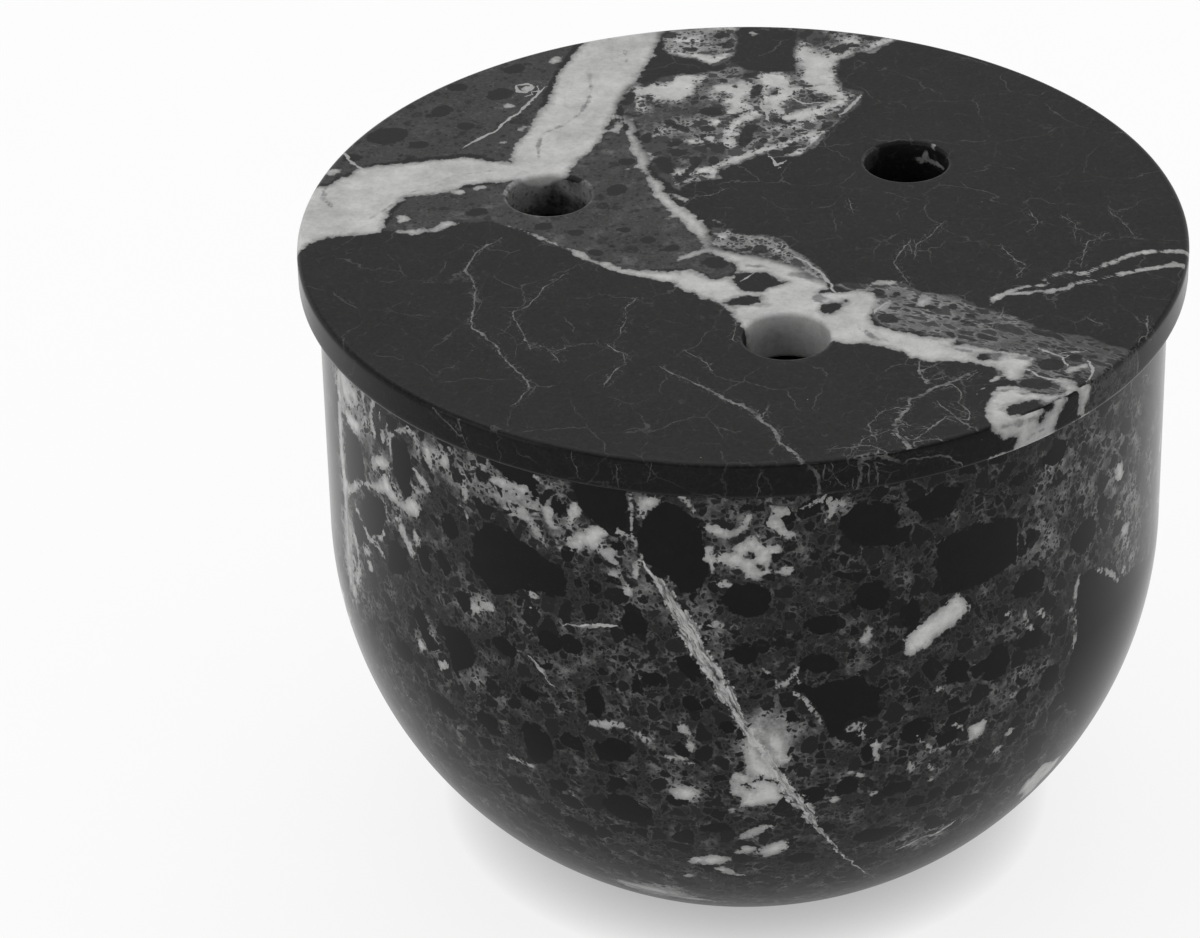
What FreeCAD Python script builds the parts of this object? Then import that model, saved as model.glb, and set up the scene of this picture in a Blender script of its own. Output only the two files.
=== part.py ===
"""A stone garlic keeper: a turned bowl and a loose round lid with three vent holes.

The bowl is one piece of stone. Its side is nearly upright, its lower half is one big round, and it
stands on a flat foot. The lid is a flat disc of the same stone that rests on the bowl's rim and
overhangs it a little. A shallow step turned under the lid, the register, drops into the mouth and
keeps the lid in place. The three vents go right through the lid; they let the bulbs breathe, and
a fingertip in one of them lifts the lid.

Millimetres, +Z up. The origin is the middle of the foot, on the surface that the bowl stands on.
"""
import FreeCAD
import Part
import math
import os

# ---- whole object ----
overall_height = 101.6          # foot to the top of the lid

# ---- lid ----
lid_diameter = 133.4
lid_rim_thickness = 5.7         # where the lid overhangs the bowl
lid_edge_radius = 0.9           # polished round on the rim's two edges
register_depth = 2.0            # step under the lid that drops into the mouth
register_clearance = 0.8        # gap between the step and the mouth, all round
register_edge_radius = 0.5

# ---- vents in the lid ----
vent_count = 3
vent_diameter = 12.7
vent_edge_radius = 0.75
vent_circle_radius = 32.0       # middle of the vent circle to the middle of a vent
vent_circle_offset = 0.8        # along +X: the circle is drilled a little off the lid's middle
first_vent_angle = -80          # degrees from +X; the others follow at equal angles

# ---- bowl ----
rim_diameter = 127.8            # outside, at the top
belly_diameter = 128.2          # outside, at the widest
belly_height = 54.0             # where the side ends and the big round begins
foot_diameter = 67.2            # flat underneath, before its edge is rounded
foot_edge_radius = 3.0
wall_thickness = 9.0
floor_thickness = 11.0
floor_corner_radius = 8.0       # inside, where the floor meets the round
rim_edge_radius = 0.8

# ---- worked out from the sizes above ----
rim_height = overall_height - lid_rim_thickness
rim_radius = rim_diameter / 2
mouth_radius = rim_radius - wall_thickness
belly_radius = belly_diameter / 2
foot_radius = foot_diameter / 2
lid_radius = lid_diameter / 2
register_radius = mouth_radius - register_clearance
lid_underside = rim_height - register_depth
vent_radius = vent_diameter / 2

# The big round starts upright at the belly and ends at the foot, so its radius follows from both.
foot_inset = belly_radius - foot_radius
round_radius = (foot_inset ** 2 + belly_height ** 2) / (2 * foot_inset)
round_centre_radius = belly_radius - round_radius

SAME_MM = 1e-3                  # two lengths closer than this are the same


def at(radius, height):
    """A point of a half section, which lies in the XZ plane."""
    return FreeCAD.Vector(radius, 0, height)


def line(start, end):
    return Part.LineSegment(at(*start), at(*end)).toShape()


def big_round(radius, top, bottom):
    """The arc about the big round's centre, from its widest point down to the height `bottom`."""
    drop = belly_height - bottom
    turned = math.asin(drop / radius)
    end = (round_centre_radius + radius * math.cos(turned), bottom)
    halfway = (round_centre_radius + radius * math.cos(turned / 2),
               belly_height - radius * math.sin(turned / 2))
    return Part.Arc(at(*top), at(*halfway), at(*end)).toShape(), end


def turned_solid(edges):
    """The closed half section, turned once round the Z axis."""
    section = Part.Face(Part.Wire(edges))
    return section.revolve(at(0, 0), FreeCAD.Vector(0, 0, 1), 360)


def circles(solid, radius, height):
    """The solid's round edges of that radius, at that height."""
    found = []
    for edge in solid.Edges:
        curve = edge.Curve
        if not isinstance(curve, Part.Circle):
            continue
        if abs(curve.Radius - radius) < SAME_MM and abs(curve.Center.z - height) < SAME_MM:
            found.append(edge)
    return found


def rounded(solid, radius, *edges_at):
    """The solid with the round edges at each (edge radius, height) rounded over."""
    edges = []
    for edge_radius, height in edges_at:
        edges += circles(solid, edge_radius, height)
    return solid.makeFillet(radius, edges)


def make_bowl():
    """Half section: up the outside, over the rim, down the inside and back along the floor."""
    belly = (belly_radius, belly_height)
    inner_belly = (belly_radius - wall_thickness, belly_height)
    outer_round, foot = big_round(round_radius, belly, 0)
    inner_round, floor_corner = big_round(round_radius - wall_thickness, inner_belly, floor_thickness)
    bowl = turned_solid([
        line((0, 0), foot),
        outer_round,
        line(belly, (rim_radius, rim_height)),
        line((rim_radius, rim_height), (mouth_radius, rim_height)),
        line((mouth_radius, rim_height), inner_belly),
        inner_round,
        line(floor_corner, (0, floor_thickness)),
        line((0, floor_thickness), (0, 0)),
    ])
    bowl = rounded(bowl, foot_edge_radius, foot)
    bowl = rounded(bowl, floor_corner_radius, floor_corner)
    return rounded(bowl, rim_edge_radius, (rim_radius, rim_height), (mouth_radius, rim_height))


def vent_centres():
    """The middle of each vent, evenly spaced on the vent circle."""
    for vent in range(vent_count):
        angle = math.radians(first_vent_angle + 360 * vent / vent_count)
        yield (vent_circle_offset + vent_circle_radius * math.cos(angle),
               vent_circle_radius * math.sin(angle))


def make_lid():
    """A disc with its register below, the vents drilled through, and every edge eased."""
    half_section = [
        (0, lid_underside),
        (register_radius, lid_underside),
        (register_radius, rim_height),
        (lid_radius, rim_height),
        (lid_radius, overall_height),
        (0, overall_height),
        (0, lid_underside),
    ]
    lid = turned_solid([line(a, b) for a, b in zip(half_section, half_section[1:])])
    lid = rounded(lid, lid_edge_radius, (lid_radius, rim_height), (lid_radius, overall_height))
    lid = rounded(lid, register_edge_radius, (register_radius, lid_underside))
    for x, y in vent_centres():
        drill = Part.makeCylinder(vent_radius, overall_height, FreeCAD.Vector(x, y, 0))
        lid = lid.cut(drill)
    return rounded(lid, vent_edge_radius, (vent_radius, lid_underside), (vent_radius, overall_height))


def main():
    os.makedirs("parts", exist_ok=True)
    for name, solid in (("bowl", make_bowl()), ("lid", make_lid())):
        solid.exportStep(f"parts/{name}.step")
        print(name, "volume", round(solid.Volume), "mm3, valid", solid.isValid())


main()
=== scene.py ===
# %% [markdown]
# # Dressing a stone garlic keeper
# The real object is two pieces of black brecciated marble: a turned bowl on a flat foot, and a loose
# flat lid with three vent holes. The construction comes packed as a fixed frame. This lesson makes
# the stone that is seen: two closed meshes of exactly the frame's shape, and a marble for each.
#
# Numpy works in millimetres here, as a mason's drawing does. Blender works in metres, so every mesh
# is multiplied by MM once, when it is made.

# %% Load the frame and measure it
import math

import bmesh
import bpy
import numpy as np
from mathutils import Matrix, Vector


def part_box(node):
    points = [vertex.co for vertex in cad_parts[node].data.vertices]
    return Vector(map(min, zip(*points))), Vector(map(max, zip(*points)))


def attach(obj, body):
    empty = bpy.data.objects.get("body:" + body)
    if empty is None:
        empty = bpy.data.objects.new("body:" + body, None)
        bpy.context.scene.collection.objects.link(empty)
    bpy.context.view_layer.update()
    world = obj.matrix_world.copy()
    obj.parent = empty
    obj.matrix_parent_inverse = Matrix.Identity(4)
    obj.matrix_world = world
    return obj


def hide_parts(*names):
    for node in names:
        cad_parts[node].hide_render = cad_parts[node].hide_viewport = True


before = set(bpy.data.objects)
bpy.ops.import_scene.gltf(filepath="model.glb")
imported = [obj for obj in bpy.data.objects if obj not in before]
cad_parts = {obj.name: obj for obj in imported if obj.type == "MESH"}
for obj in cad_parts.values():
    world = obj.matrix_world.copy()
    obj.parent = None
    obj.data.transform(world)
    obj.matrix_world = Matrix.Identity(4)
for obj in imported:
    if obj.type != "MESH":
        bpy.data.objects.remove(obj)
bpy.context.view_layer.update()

MM = 0.001                          # one millimetre, in Blender's metres
lid_low, lid_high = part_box("lid")
_, bowl_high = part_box("bowl")
lid_radius = lid_high.x / MM
lid_top = lid_high.z / MM
lid_underside = lid_low.z / MM
rim_height = bowl_high.z / MM
belly_radius = bowl_high.x / MM
print("lid", round(2 * lid_radius, 1), "mm across, top at", round(lid_top, 1), "mm")
print("bowl", round(2 * belly_radius, 1), "mm across, rim at", round(rim_height, 1), "mm")

# %% [markdown]
# ## From grids of points to one closed mesh
# A turned or drilled stone is a few smooth surfaces that meet along edges. Each surface is easiest
# as a grid of points, worked out for all its rows and columns at once. Modelling by hand, or a
# boolean cut, would leave long thin faces round the holes, and the stone's pattern, which is stored
# on the points, would smear along them. So the grids share the points along their edges, and a weld
# turns them into one closed skin.

# %% Grids into a mesh
WELD_MM = 0.002                     # points closer than this are the same point


def grid_quads(rows, columns):
    """Corner numbers of the four-sided faces between neighbouring rows and columns."""
    corner = np.arange(rows * columns).reshape(rows, columns)
    around = [corner[:-1, :-1], corner[:-1, 1:], corner[1:, 1:], corner[1:, :-1]]
    return np.stack(around, axis=-1).reshape(-1, 4)


def closed_piece(name, grids):
    """One object from grids of points in mm: stack them, join each grid's quads, weld the edges."""
    points, quads, count = [], [], 0
    for grid in grids:
        rows, columns = grid.shape[:2]
        points.append(grid.reshape(-1, 3))
        quads.append(grid_quads(rows, columns) + count)
        count += rows * columns
    mesh = bpy.data.meshes.new(name)
    mesh.from_pydata(np.concatenate(points) * MM, [], np.concatenate(quads))
    welded = bmesh.new()
    welded.from_mesh(mesh)
    bmesh.ops.remove_doubles(welded, verts=welded.verts, dist=WELD_MM * MM)
    bmesh.ops.recalc_face_normals(welded, faces=welded.faces)
    welded.to_mesh(mesh)
    welded.free()
    mesh.shade_smooth()
    piece = bpy.data.objects.new(name, mesh)
    bpy.context.scene.collection.objects.link(piece)
    triangles = len(mesh.loops) - 2 * len(mesh.polygons)
    print(name, triangles, "triangles, closed:", len(mesh.loops) == 2 * len(mesh.edges))
    return piece


def points_of(piece):
    """The mesh's points as an array of x, y, z in mm."""
    flat = np.empty(3 * len(piece.data.vertices))
    piece.data.vertices.foreach_get("co", flat)
    return flat.reshape(-1, 3) / MM


def straight(start, end, steps):
    """Points along a straight line: start + share * (end - start), without the end point."""
    share = np.arange(steps)[:, None] / steps
    return np.array(start) + share * (np.array(end) - np.array(start))


def arc(centre, radius, first, last, steps):
    """Points on a circle: centre + radius * (cos, sin) of angles from first to last, in degrees."""
    angle = np.radians(first + (last - first) * np.arange(steps) / steps)
    return np.array(centre) + radius * np.stack([np.cos(angle), np.sin(angle)], axis=-1)


def turned(profile, azimuth):
    """Every profile point (radius, height) carried round the Z axis: x = r sin a, y = -r cos a."""
    radius, height = profile[:, :1], profile[:, 1:]
    x = radius * np.sin(np.radians(azimuth))
    y = -radius * np.cos(np.radians(azimuth))
    return np.stack([x, y, np.broadcast_to(height, x.shape)], axis=-1)


# %% [markdown]
# ## The bowl
# The bowl is turned on a lathe, so a half section carried round the axis gives all of it. The half
# section is straight runs and arcs: along the foot, round the foot's edge, up the big round, up the
# nearly upright side, over the rim, down the inside and back along the floor. Azimuth 0 is the
# front. A Screw modifier would turn it too, but would space its columns evenly. Here the front has
# closer columns than the back, because the stone's listed pattern is there.

# %% The bowl's half section
rim_radius = 63.9                   # outside, at the top
belly_height = 54.0                 # the side ends and the big round begins
foot_radius = 33.6                  # before its edge is rounded
foot_edge_radius = 3.0
wall_thickness = 9.0
floor_thickness = 11.0
floor_corner_radius = 8.0
rim_edge_radius = 0.8
mouth_radius = rim_radius - wall_thickness

foot_inset = belly_radius - foot_radius
round_radius = (foot_inset ** 2 + belly_height ** 2) / (2 * foot_inset)
round_centre = (belly_radius - round_radius, belly_height)


def corner_in_round(big_radius, corner_radius, level):
    """Centre of a corner arc that touches the big round from inside and the level from above, and
    the angle at which it leaves the big round: the two centres are their radii's difference apart."""
    rise = belly_height - level - corner_radius
    reach = math.sqrt((big_radius - corner_radius) ** 2 - rise ** 2)
    return (round_centre[0] + reach, level + corner_radius), -math.degrees(math.atan2(rise, reach))


def bowl_profile():
    """The half section as one line of points, from the foot's middle to the floor's middle. The last
    number of each run is how many steps it is cut into."""
    inner_radius = round_radius - wall_thickness
    foot, foot_angle = corner_in_round(round_radius, foot_edge_radius, 0)
    floor, floor_angle = corner_in_round(inner_radius, floor_corner_radius, floor_thickness)
    outer_rim = (rim_radius - rim_edge_radius, rim_height - rim_edge_radius)
    inner_rim = (mouth_radius + rim_edge_radius, rim_height - rim_edge_radius)
    inner_belly = (belly_radius - wall_thickness, belly_height)
    return np.concatenate([
        straight((0, 0), (foot[0], 0), 6),
        arc(foot, foot_edge_radius, -90, foot_angle, 8),
        arc(round_centre, round_radius, foot_angle, 0, 84),
        straight((belly_radius, belly_height), (rim_radius, outer_rim[1]), 60),
        arc(outer_rim, rim_edge_radius, 0, 90, 6),
        straight((outer_rim[0], rim_height), (inner_rim[0], rim_height), 6),
        arc(inner_rim, rim_edge_radius, 90, 180, 5),
        straight((mouth_radius, inner_rim[1]), inner_belly, 14),
        arc(round_centre, inner_radius, 0, floor_angle, 18),
        arc(floor, floor_corner_radius, floor_angle, -90, 8),
        straight((floor[0], floor_thickness), (0, floor_thickness), 5),
        [(0, floor_thickness)],
    ])


front_reach = 80                    # degrees each side of the front that get the closer columns
front_columns = np.linspace(-front_reach, front_reach, 281)
back_columns = np.linspace(front_reach, 360 - front_reach, 121)
bowl_azimuth = np.concatenate([front_columns, back_columns[1:]])
bowl_stone = closed_piece("bowl_stone", [turned(bowl_profile(), bowl_azimuth)])

# %% [markdown]
# ## The lid
# The lid is a disc that is drilled three times, and three cylinders could be cut out of it with a
# boolean. Grids give it even faces instead, although a disc with three holes is no plain grid. It
# splits into three sectors, one round each vent. In a sector every column is a straight line from
# the vent's edge to the sector's border, which runs from the middle out to the rim, along the rim
# and back. Neighbouring sectors share the same border points, so the weld closes them. The walls of
# the vents and the rim with its step are grids too.

# %% The lid's sizes
edge_radius = 0.9                   # polished round on the rim's two edges
register_radius = 54.1              # the step that drops into the bowl's mouth
register_edge_radius = 0.5
vent_radius = 6.35
vent_edge_radius = 0.75
vent_circle_radius = 32.0
vent_circle_middle = np.array([0.8, 0.0])
vent_angles = np.array([-80.0, 40.0, 160.0])        # from +X
sector_half = 60                    # degrees from a vent to its sector's border
border_steps = (92, 176)            # along a straight border, and along the rim


def vent_middle(angle):
    """The middle of a vent: the circle's middle plus its radius along the angle."""
    turn = math.radians(angle)
    return vent_circle_middle + vent_circle_radius * np.array([math.cos(turn), math.sin(turn)])


def sector_border(angle, radius):
    """Out from the vent circle's middle, along an arc about the lid's middle, and back."""
    along, round_rim = border_steps
    first, last = angle - sector_half, angle + sector_half
    rim = arc((0, 0), radius, first, last, round_rim)
    end = arc((0, 0), radius, last, last, 1)[0]
    out = straight(vent_circle_middle, rim[0], along)
    back = straight(end, vent_circle_middle, along)
    return np.concatenate([out, rim, back, out[:1]])


def away_from_vent(angle, radius):
    """The unit directions from the vent's middle to each point of its sector's border."""
    way = sector_border(angle, radius) - vent_middle(angle)
    return way / np.linalg.norm(way, axis=1, keepdims=True)


def at_height(points, height):
    """Flat points lifted to one height, or to a height for each."""
    level = np.broadcast_to(np.asarray(height, float), points.shape[:-1])
    return np.concatenate([points, level[..., None]], axis=-1)


def flat_sector(angle, radius, height, rows):
    """(1 - v) * vent edge + v * border, for v from 0 to 1; its first and last rows lie close in."""
    first, last = [0, 0.004], [0.996, 1]
    share = np.concatenate([first, np.linspace(0.016, 0.984, rows), last])[:, None, None]
    inner = vent_middle(angle) + (vent_radius + vent_edge_radius) * away_from_vent(angle, radius)
    return at_height((1 - share) * inner + share * sector_border(angle, radius), height)


def vent_wall(angle, top_radius, under_radius):
    """A quarter round, the straight wall and a quarter round below; the columns turn from the top
    sector's directions to the underside's on the way down."""
    top_centre = (vent_radius + vent_edge_radius, lid_top - vent_edge_radius)
    under_centre = (vent_radius + vent_edge_radius, lid_underside + vent_edge_radius)
    line = np.concatenate([
        arc(top_centre, vent_edge_radius, 90, 180, 5),
        straight((vent_radius, top_centre[1]), (vent_radius, under_centre[1]), 6),
        arc(under_centre, vent_edge_radius, 180, 270, 4),
        [(top_centre[0], lid_underside)],
    ])
    share = ((lid_top - line[:, 1]) / (lid_top - lid_underside))[:, None, None]
    way = (1 - share) * away_from_vent(angle, top_radius) + share * away_from_vent(angle, under_radius)
    way /= np.linalg.norm(way, axis=-1, keepdims=True)
    flat = vent_middle(angle) + line[:, :1, None] * way
    return at_height(flat, line[:, 1:])


def rim_profile(top_radius, under_radius):
    """From the top's border over the rim's side, in under the overhang and round the register."""
    upper = (top_radius, lid_top - edge_radius)
    lower = (top_radius, rim_height + edge_radius)
    step = (under_radius, lid_underside + register_edge_radius)
    return np.concatenate([
        arc(upper, edge_radius, 90, 0, 7),
        straight((lid_radius, upper[1]), (lid_radius, lower[1]), 8),
        arc(lower, edge_radius, 0, -90, 6),
        straight((top_radius, rim_height), (register_radius, rim_height), 7),
        straight((register_radius, rim_height), (register_radius, step[1]), 3),
        arc(step, register_edge_radius, 0, -90, 4),
        [(under_radius, lid_underside)],
    ])


# %% Grids of the lid
top_radius = lid_radius - edge_radius
under_radius = register_radius - register_edge_radius
top_rows, under_rows = 51, 3        # the top is drawn finely, and the underside is out of sight
lid_grids = []
for angle in vent_angles:
    lid_grids.append(flat_sector(angle, top_radius, lid_top, top_rows))
    lid_grids.append(flat_sector(angle, under_radius, lid_underside, under_rows))
    lid_grids.append(vent_wall(angle, top_radius, under_radius))
    share = np.arange(border_steps[1] + 1) / border_steps[1]
    rim_azimuth = 90 + angle - sector_half + 2 * sector_half * share
    lid_grids.append(turned(rim_profile(top_radius, under_radius), rim_azimuth))
lid_stone = closed_piece("lid_stone", lid_grids)

# %% [markdown]
# ## The stone as a drawing
# Marble like this is black limestone that was broken up and healed with white calcite. Noise alone
# gives marble in general, but never this slab with its two broad bands and its one long crack. So
# the big features are drawn, as a restorer would: ribbons, patches, blobs and threads on a plan in
# millimetres. Each point of the mesh then stores how far inside a feature it is. The material
# roughens those distances with fine noise, so a drawn outline turns into a broken, natural edge.

# %% Distances to what is drawn
FAR = 99.0                          # mm: further than anything drawn


def to_segment(plan, start, end):
    """Where along the segment the nearest point lies (0 to 1), the distance to it, and the signed
    distance to the segment's line."""
    run = end - start
    length = max(math.hypot(*run), 1e-9)
    offset = plan - start
    along = np.clip(offset @ run / length ** 2, 0, 1)
    across = (run[0] * offset[:, 1] - run[1] * offset[:, 0]) / length
    away = offset - along[:, None] * run
    return along, np.hypot(away[:, 0], away[:, 1]), across


def ribbons(plan, *drawn):
    """Half width minus distance to the middle line, the greatest over all runs: above 0 inside."""
    inside = np.full(len(plan), -FAR)
    for ribbon in drawn:
        ribbon = np.array(ribbon, float)
        for start, end in zip(ribbon, ribbon[1:]):
            along, away, _ = to_segment(plan, start[:2], end[:2])
            inside = np.maximum(inside, start[2] + along * (end[2] - start[2]) - away)
    return inside


def patches(plan, *drawn):
    """Signed distance to closed outlines, above 0 inside: a ray to the right crosses the outline an
    odd number of times from inside."""
    inside = np.full(len(plan), -FAR)
    for outline in drawn:
        outline = np.array(outline, float)
        nearest = np.full(len(plan), FAR)
        odd = np.zeros(len(plan), bool)
        for start, end in zip(outline, np.roll(outline, -1, axis=0)):
            nearest = np.minimum(nearest, to_segment(plan, start, end)[1])
            spans = (start[1] > plan[:, 1]) != (end[1] > plan[:, 1])
            rise = end[1] - start[1] if end[1] != start[1] else 1.0
            crossing = start[0] + (plan[:, 1] - start[1]) * (end[0] - start[0]) / rise
            odd ^= spans & (plan[:, 0] < crossing)
        inside = np.maximum(inside, np.where(odd, nearest, -nearest))
    return inside


def blobs(plan, *drawn):
    """Ellipses as (x, y, half length, half width, turn in degrees): above 0 inside."""
    inside = np.full(len(plan), -FAR)
    for x, y, long, wide, turn in drawn:
        cosine, sine = math.cos(math.radians(turn)), math.sin(math.radians(turn))
        offset = plan - (x, y)
        u = (offset[:, 0] * cosine + offset[:, 1] * sine) / long
        v = (offset[:, 1] * cosine - offset[:, 0] * sine) / wide
        inside = np.maximum(inside, (1 - np.hypot(u, v)) * min(long, wide))
    return inside


def threads(plan, *drawn):
    """For veins thinner than the mesh's spacing: the signed distance to the nearest thread's middle
    line, the plain distance, and the thread's half width there. A sign that flips from one side to
    the other keeps a thin line sharp between the points, where a plain distance would blur."""
    across = np.full(len(plan), FAR)
    nearest = np.full(len(plan), FAR)
    width = np.zeros(len(plan))
    for thread in drawn:
        thread = np.array(thread, float)
        for start, end in zip(thread, thread[1:]):
            along, away, side = to_segment(plan, start[:2], end[:2])
            inner = (along > 0) & (along < 1)
            signed = np.where(inner, side, np.sign(side) * away)
            closer = away < nearest
            across = np.where(closer, signed, across)
            width = np.where(closer, start[2] + along * (end[2] - start[2]), width)
            nearest = np.where(closer, away, nearest)
    return across, nearest, width


def thread(half_width, *points):
    """A thread of one half width."""
    return [(x, y, half_width) for x, y in points]


def store(piece, **readings):
    """Each reading becomes a named attribute on the mesh's points, for the material to read."""
    for name, values in readings.items():
        attribute = piece.data.attributes.new(name, "FLOAT", "POINT")
        attribute.data.foreach_set("value", np.asarray(values, np.float32))
    print(piece.name, "stores", ", ".join(readings))


# %% [markdown]
# ## The lid's drawing
# The lid was sawn from a slab, so its bands and veins go right through it. An image laid on the top
# would stop at the rim. Here the plan is seen from above, x to the right and y to the back, and a
# point below the top reads it a little further along, as a vein that leans does. That carries the
# veins over the rim and down the walls of the vents.

# %% White calcite on the lid
# Ribbons and threads are points (x, y, half width), patches are closed outlines of (x, y), and blobs
# are ellipses (x, y, half length, half width, turn in degrees), all in mm.
lid_bands = [
    [(-31, 18, 4.5), (-30, 24, 5.5), (-27.5, 30, 6), (-26, 36, 5.8), (-24.5, 42, 5.6),
     (-23, 48, 6.5), (-21, 54, 6.3), (-19.5, 60, 6), (-18, 70, 6)],
    # the vein from the left band to the middle, and the thin one that meets it from the left
    [(-21.5, 36.5, 0.7), (-18.5, 35.2, 0.9), (-17, 33.5, 0.7), (-17.2, 30, 0.6), (-16.2, 27, 0.6),
     (-16.4, 25, 0.9), (-14.8, 22.5, 0.9), (-15.1, 19, 0.7), (-13.8, 16, 0.8), (-13, 13.2, 1.0),
     (-12.5, 11, 0.9), (-11, 7.5, 0.9), (-9, 4.5, 1.1), (-7.3, 1.5, 1.5), (-6, -1, 1.4),
     (-5, -4, 1.0), (-4.8, -6, 0.9)],
    [(-12.8, 11.5, 0.1), (-10, 10.3, 0.2), (-8.5, 8.6, 0.1)],
    [(-15, 20, 0.2), (-17.5, 18.6, 0.15)],
    [(-7.5, 2, 0.3), (-4.5, 2.6, 0.3), (-2.5, 1.2, 0.15)],
    [(-9, 4.5, 0.2), (-11.5, 3, 0.15)],
    [(-38, 2.5, -0.2), (-33, 0, -0.05), (-30.3, -2.4, 0.6), (-28.5, -4, 0.15), (-25, -6.5, 0.0),
     (-24, -7.7, 0.6), (-22.5, -9.5, 0.2), (-20, -10.7, 0.7), (-18, -12.5, 0.7), (-13, -14, 1.2),
     (-9, -14.8, 1.8)],
    [(-9.5, -9.5, 0.1), (-7.5, -8, 0.3), (-5.5, -6.5, 0.5)],
    # the pair that runs off to the right
    [(35.9, -23.8, 0.3), (36.8, -21.5, 0.5), (39, -19.7, 0.6), (40, -19, 0.5), (41.8, -18.1, 0.3),
     (44.1, -17.7, 0.3), (44.8, -17.2, 0.3), (44.3, -16.1, 0.4), (45.5, -15, 0.5), (48.2, -14, 0.6),
     (50.5, -14.3, 0.5), (52.3, -12.9, 0.4), (54.5, -11.3, 0.5), (56.8, -9.5, 0.55),
     (59.1, -8.4, 0.6), (62.3, -7.9, 0.5), (68, -8.8, 0.5)],
    [(39.5, -20.2, 0.4), (41.8, -19.7, 0.3), (45.5, -19.3, 0.4), (47.5, -18.6, 0.4),
     (48.6, -17.2, 0.4), (51.4, -16.3, 0.4), (54.5, -15.4, 0.45), (57.7, -14, 0.45),
     (60.5, -12.9, 0.55), (63.6, -12, 0.55), (68, -13.2, 0.4)],
    # ribbons in the cloudy zone behind the middle
    [(-12, 58.8, 0.6), (-10, 57, 0.7), (-7.5, 56.3, 0.8), (-5, 54.5, 1.2), (-2, 56, 0.7)],
    [(-5, 65.2, 0.6), (-1, 65.5, 0.8)],
    [(-3, 19.5, 1.1), (0, 22.3, 1.0), (3, 24, 1.1), (4.8, 25, 0.7)],
    [(-4.5, 19, 1.1), (-4.3, 16, 0.9), (-7, 15, 0.8), (-10, 14, 0.6)],
    [(-4.5, 19, 1.1), (-7, 17, 1.0), (-9.5, 17.3, 0.9)],
    [(-2, 26, 0.8), (-1.8, 29, 1.1), (-1.3, 32, 1.0), (0, 34.5, 1.0), (2, 36.5, 1.2)],
    [(3.8, 31, 0.9), (6.5, 31.3, 1.0), (9, 31.8, 0.8), (11, 34, 1.0)],
    [(12.8, 30, 0.6), (11.5, 27.5, 0.9), (10, 25, 1.0), (8.7, 23.3, 1.0), (7.2, 22.6, 0.5)],
    [(6, 25.5, 0.5), (7.5, 27, 0.7), (9.5, 28.5, 0.8), (11.5, 29.5, 0.8)],
    [(20.5, 57, 0.8), (22, 59.5, 1.0), (25, 61.5, 1.0)],
    # round the eye at the front right
    [(36.9, -43, 0.3), (34.6, -45.3, 0.35), (33.4, -47.6, 0.2), (32.6, -49.6, -0.3)],
    [(46.3, -42, 0.5), (48.3, -40.9, 0.6)],
    [(44.6, -44.7, 0.6), (46, -45.3, 1.0), (46.3, -47.3, 0.9), (45.2, -49.5, 0.9), (44.2, -52, 1.0),
     (43, -55, 1.2)],
    [(48.1, -47, 0.5), (48.1, -50, 0.7), (47.5, -53, 0.6)],
]
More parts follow.
